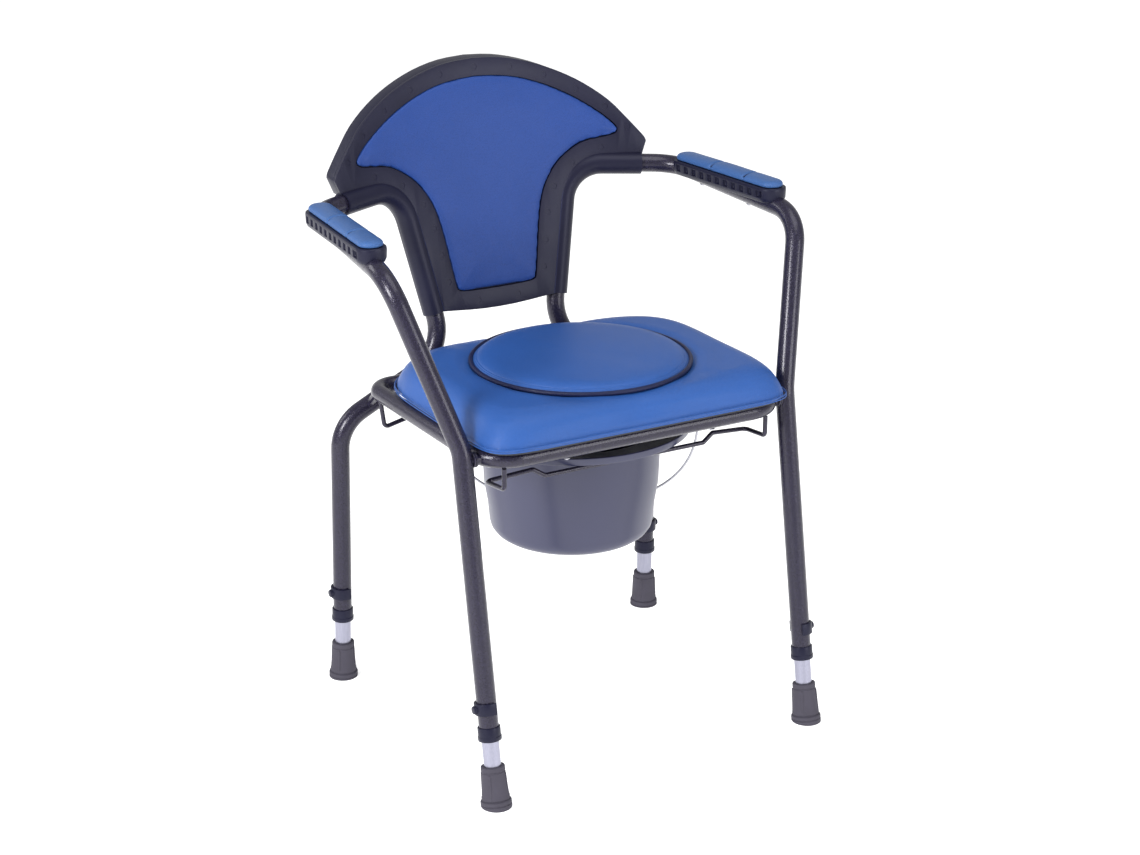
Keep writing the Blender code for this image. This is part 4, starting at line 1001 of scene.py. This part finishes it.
class COMMODE_OT_legs(bpy.types.Operator):
    """Turn the collars, inner tubes and feet, and mould the spring clips"""
    bl_idname, bl_label = "commode.legs", "Telescopic legs"

    def execute(self, context):
        sizes = context.scene.commode_legs
        for which in ("front", "rear"):
            for name, side in SIDES:
                label, place = f"{which}_{name}", leg_frame(which, side)
                self.collar(label, place, sizes)
                self.inner(label, place, sizes)
                self.foot(label, place, sizes)
                self.clip(label, place, side)
        return {"FINISHED"}

    def collar(self, label, place, sizes):
        low, top, radius = COLLAR_BOTTOM, COLLAR_BOTTOM + 0.018, sizes.collar
        ring = [
            *near(radius, top, (-0.0009, 0), (-0.0003, -0.0004), (0, -0.0014)),
            *near(radius, low, (0, 0.0062), (0.0006, 0.0056), (0.0006, 0.0012), (0, 0.0004), (-0.0008, 0)),
            (0.0113, low), (0.0113, low + 0.0027), (0.0128, low + 0.0027), (0.0128, top),
        ]
        piece(f"end_collar_{label}", placed(spun(ring), place), "black_plastic", "chair", f"leg_collar_{label}")

    def inner(self, label, place, sizes):
        radius, wall, low, top = sizes.inner, 0.0015, 0.0143, PIN_HEIGHT + 0.120
        skin = spun([
            *near(radius, top, (-0.0003, 0), (0, -0.0003)), (radius, low), (radius - wall, low),
            *near(radius - wall, top, (0, -0.0003), (0.0003, 0)),
        ])
        for number in range(-1, 5):
            height = PIN_HEIGHT + number * sizes.pitch
            skin = cut(skin, rod((-0.02, 0, height), (0.02, 0, height), 0.0036, 20))
        body = f"leg_{label}"
        piece(f"sliding_tube_{label}", placed(skin, place), "aluminium", body, f"inner_tube_{label}", sharp=30)

    def foot(self, label, place, sizes):
        base, neck, socket = sizes.foot, 0.0152, 0.014
        cup = [
            *near(neck, 0, (-0.0016, 0.052), (-0.0004, 0.0516), (0, 0.0505), (0, 0.0465), (-0.0007, 0.0458)),
            *near(neck, 0, (-0.0007, 0.0448), (0.0001, 0.0440), (0.0008, 0.030)),
            *near(base, 0, (-0.0024, 0.0140), (-0.0018, 0.0125), (-0.0018, 0.0105), (-0.0026, 0.0098)),
            *near(base, 0, (-0.0026, 0.0088), (-0.0006, 0.0078), (0, 0.0064), (0, 0.0040), (-0.0008, 0.0034)),
            *near(base, 0, (-0.0008, 0.0026), (0, 0.0020), (0, -0.012)), (0, -0.012), (0, socket),
            *near(sizes.inner, 0, (0.0003, socket), (0.0003, 0.052)),
        ]
        ribs = []
        for number in range(4):
            angle = math.radians(45 + 90 * number)
            out = Vector((math.cos(angle), math.sin(angle), 0))
            high, low = out * (neck - 0.0002) + Vector((0, 0, 0.043)), out * (base - 0.0032) + Vector((0, 0, 0.0100))
            ribs.append(rod(high, low, 0.0016, 12))
        bm = opened(placed(joined(spun(cup), *ribs), place))
        sliced = bmesh.ops.bisect_plane(
            bm, geom=bm.verts[:] + bm.edges[:] + bm.faces[:], plane_co=(0, 0, 0), plane_no=(0, 0, -1), clear_outer=True,
        )
        bmesh.ops.contextual_create(bm, geom=[e for e in sliced["geom_cut"] if isinstance(e, bmesh.types.BMEdge)])
        piece(f"rubber_foot_{label}", meshed(bm), "foot_rubber", f"leg_{label}", f"foot_{label}", sharp=30)

    def clip(self, label, place, side):
        inside, outside, reach, low = 0.0128, 0.0158, 0.006, PIN_HEIGHT - 0.0075
        outline = []
        for radius, order in ((outside, 1), (inside, -1)):
            turns = [math.radians(-90 + 9 * step) for step in range(21)]
            points = [(radius * math.cos(a), radius * math.sin(a)) for a in turns]
            outline += ([(-reach, -radius)] + points + [(-reach, radius)])[::order]
        rings = [[(x * side, y, z) for x, y in outline] for z in (low, low + 0.015)]
        band = bevelled(lofted(rings), 0.0006, 2)

        def out(reach):
            return side * reach, 0, PIN_HEIGHT

        knob = rod(out(outside - 0.001), out(outside + 0.0035), 0.0056, 32, 0.0048, edge=0.0008)
        pin = rod(out(0.0111), out(outside - 0.0006), 0.0033, 20)
        mesh = placed(joined(band, knob, pin), place)
        piece(f"spring_clip_{label}", mesh, "black_plastic", f"clip_{label}", f"leg_clip_{label}")


class COMMODE_OT_hardware(bpy.types.Operator):
    """Give the screws, lugs and boards that stay as they are their finishes"""
    bl_idname, bl_label = "commode.hardware", "Boards and screws"

    def execute(self, context):
        for name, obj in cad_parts.items():
            if obj.hide_render or obj.type != "MESH":
                continue
            slot = "bright_steel"
            if "board" in name:
                slot = "seat_board"
            elif name.startswith("back_screw"):
                slot = "black_plastic"
            elif "lug" in name:
                slot = "hammered_paint"
            for place in obj.material_slots:
                place.material = finish_of(slot)
        return {"FINISHED"}


class COMMODE_OT_stage(bpy.types.Operator):
    """Lay a pale floor and set the soft lights and the camera"""
    bl_idname, bl_label = "commode.stage", "Floor, lights and camera"

    def execute(self, context):
        scene = context.scene
        scene.view_settings.view_transform = "Standard"
        bm = bmesh.new()
        bmesh.ops.create_grid(bm, x_segments=8, y_segments=8, size=14)
        floor = bpy.data.objects.new("floor", meshed(bm, recalculate=False))
        scene.collection.objects.link(floor)
        paper = Finish(
            "pale_floor", Roughness=0.9, Specular_IOR_Level=0.1, Emission_Color=(1, 1, 1, 1), Emission_Strength=0.47,
        )
        paper.feed(Base_Color=paper.mixed(paper.grain(3, 2.0), (0.955, 0.955, 0.957, 1), (0.965, 0.965, 0.967, 1)))
        floor.data.materials.append(paper.material)
        world = bpy.data.worlds.new("studio")
        world.use_nodes = True
        tree = world.node_tree
        sky = tree.nodes["Background"].inputs
        sky["Color"].default_value = (1, 1, 1, 1)
        seen = tree.nodes.new("ShaderNodeLightPath").outputs["Is Camera Ray"]
        strength = tree.nodes.new("ShaderNodeMapRange")
        strength.inputs["To Min"].default_value, strength.inputs["To Max"].default_value = 0.55, 1.0
        tree.links.new(seen, strength.inputs["Value"])
        tree.links.new(strength.outputs[0], sky["Strength"])
        scene.world = world
        for name, place, size, power in (
            ("key", (-2.7, -0.9, 1.7), 1.0, 92), ("fill", (1.4, -3.0, 1.1), 1.5, 44),
            ("top", (0.3, -0.8, 2.9), 1.8, 30), ("rim", (-2.0, 2.0, 1.8), 1.0, 16),
        ):
            light = bpy.data.lights.new(name, "AREA")
            light.shape, light.size, light.energy = "SQUARE", size, power
            obj = bpy.data.objects.new(name, light)
            obj.location = place
            obj.rotation_euler = (Vector((0, 0, 0.4)) - Vector(place)).to_track_quat("-Z", "Y").to_euler()
            scene.collection.objects.link(obj)
        camera = bpy.data.cameras.new("camera")
        camera.sensor_width, camera.lens, camera.shift_x = 36, 76.05, -0.003
        camera.clip_start, camera.clip_end = 0.01, 60
        eye = bpy.data.objects.new("camera", camera)
        turn, rise, distance = math.radians(-29.89), math.radians(20.05), 3.123
        back = Vector((math.sin(turn) * math.cos(rise), -math.cos(turn) * math.cos(rise), math.sin(rise)))
        eye.location = Vector((0, -0.031, 0.386)) + back * distance
        eye.rotation_mode = "QUATERNION"
        eye.rotation_quaternion = back.to_track_quat("Z", "Y")
        scene.collection.objects.link(eye)
        scene.camera = eye
        return {"FINISHED"}


OPERATORS = (
    COMMODE_OT_tubes, COMMODE_OT_backrest, COMMODE_OT_back_pad, COMMODE_OT_seat, COMMODE_OT_plug, COMMODE_OT_bucket,
    COMMODE_OT_armrests, COMMODE_OT_legs, COMMODE_OT_hardware, COMMODE_OT_stage,
)
SETTINGS = (
    ("commode_frame", FrameSizes), ("commode_back", BackSizes), ("commode_seat", SeatSizes), ("commode_bucket", BucketSizes),
    ("commode_arms", ArmSizes), ("commode_legs", LegSizes), ("commode_colours", Colours),
)


class COMMODE_PT_panel(bpy.types.Panel):
    bl_idname, bl_label = "COMMODE_PT_panel", "Commode Chair"
    bl_space_type, bl_region_type, bl_category = "VIEW_3D", "UI", "Commode Chair"

    def draw(self, context):
        for name, _ in SETTINGS:
            box = self.layout.box()
            for key in getattr(context.scene, name).__annotations__:
                box.prop(getattr(context.scene, name), key)
        for operator in OPERATORS:
            self.layout.operator(operator.bl_idname)


CLASSES = (*(group for _, group in SETTINGS), *OPERATORS, COMMODE_PT_panel)


def register():
    for cls in CLASSES:
        bpy.utils.register_class(cls)
    for name, group in SETTINGS:
        setattr(bpy.types.Scene, name, bpy.props.PointerProperty(type=group))


def unregister():
    for name, _ in SETTINGS:
        delattr(bpy.types.Scene, name)
    for cls in reversed(CLASSES):
        bpy.utils.unregister_class(cls)


def main():
    register()
    for operator in OPERATORS:
        group, name = operator.bl_idname.split(".")
        getattr(getattr(bpy.ops, group), name)()


if __name__ == "__main__":
    main()
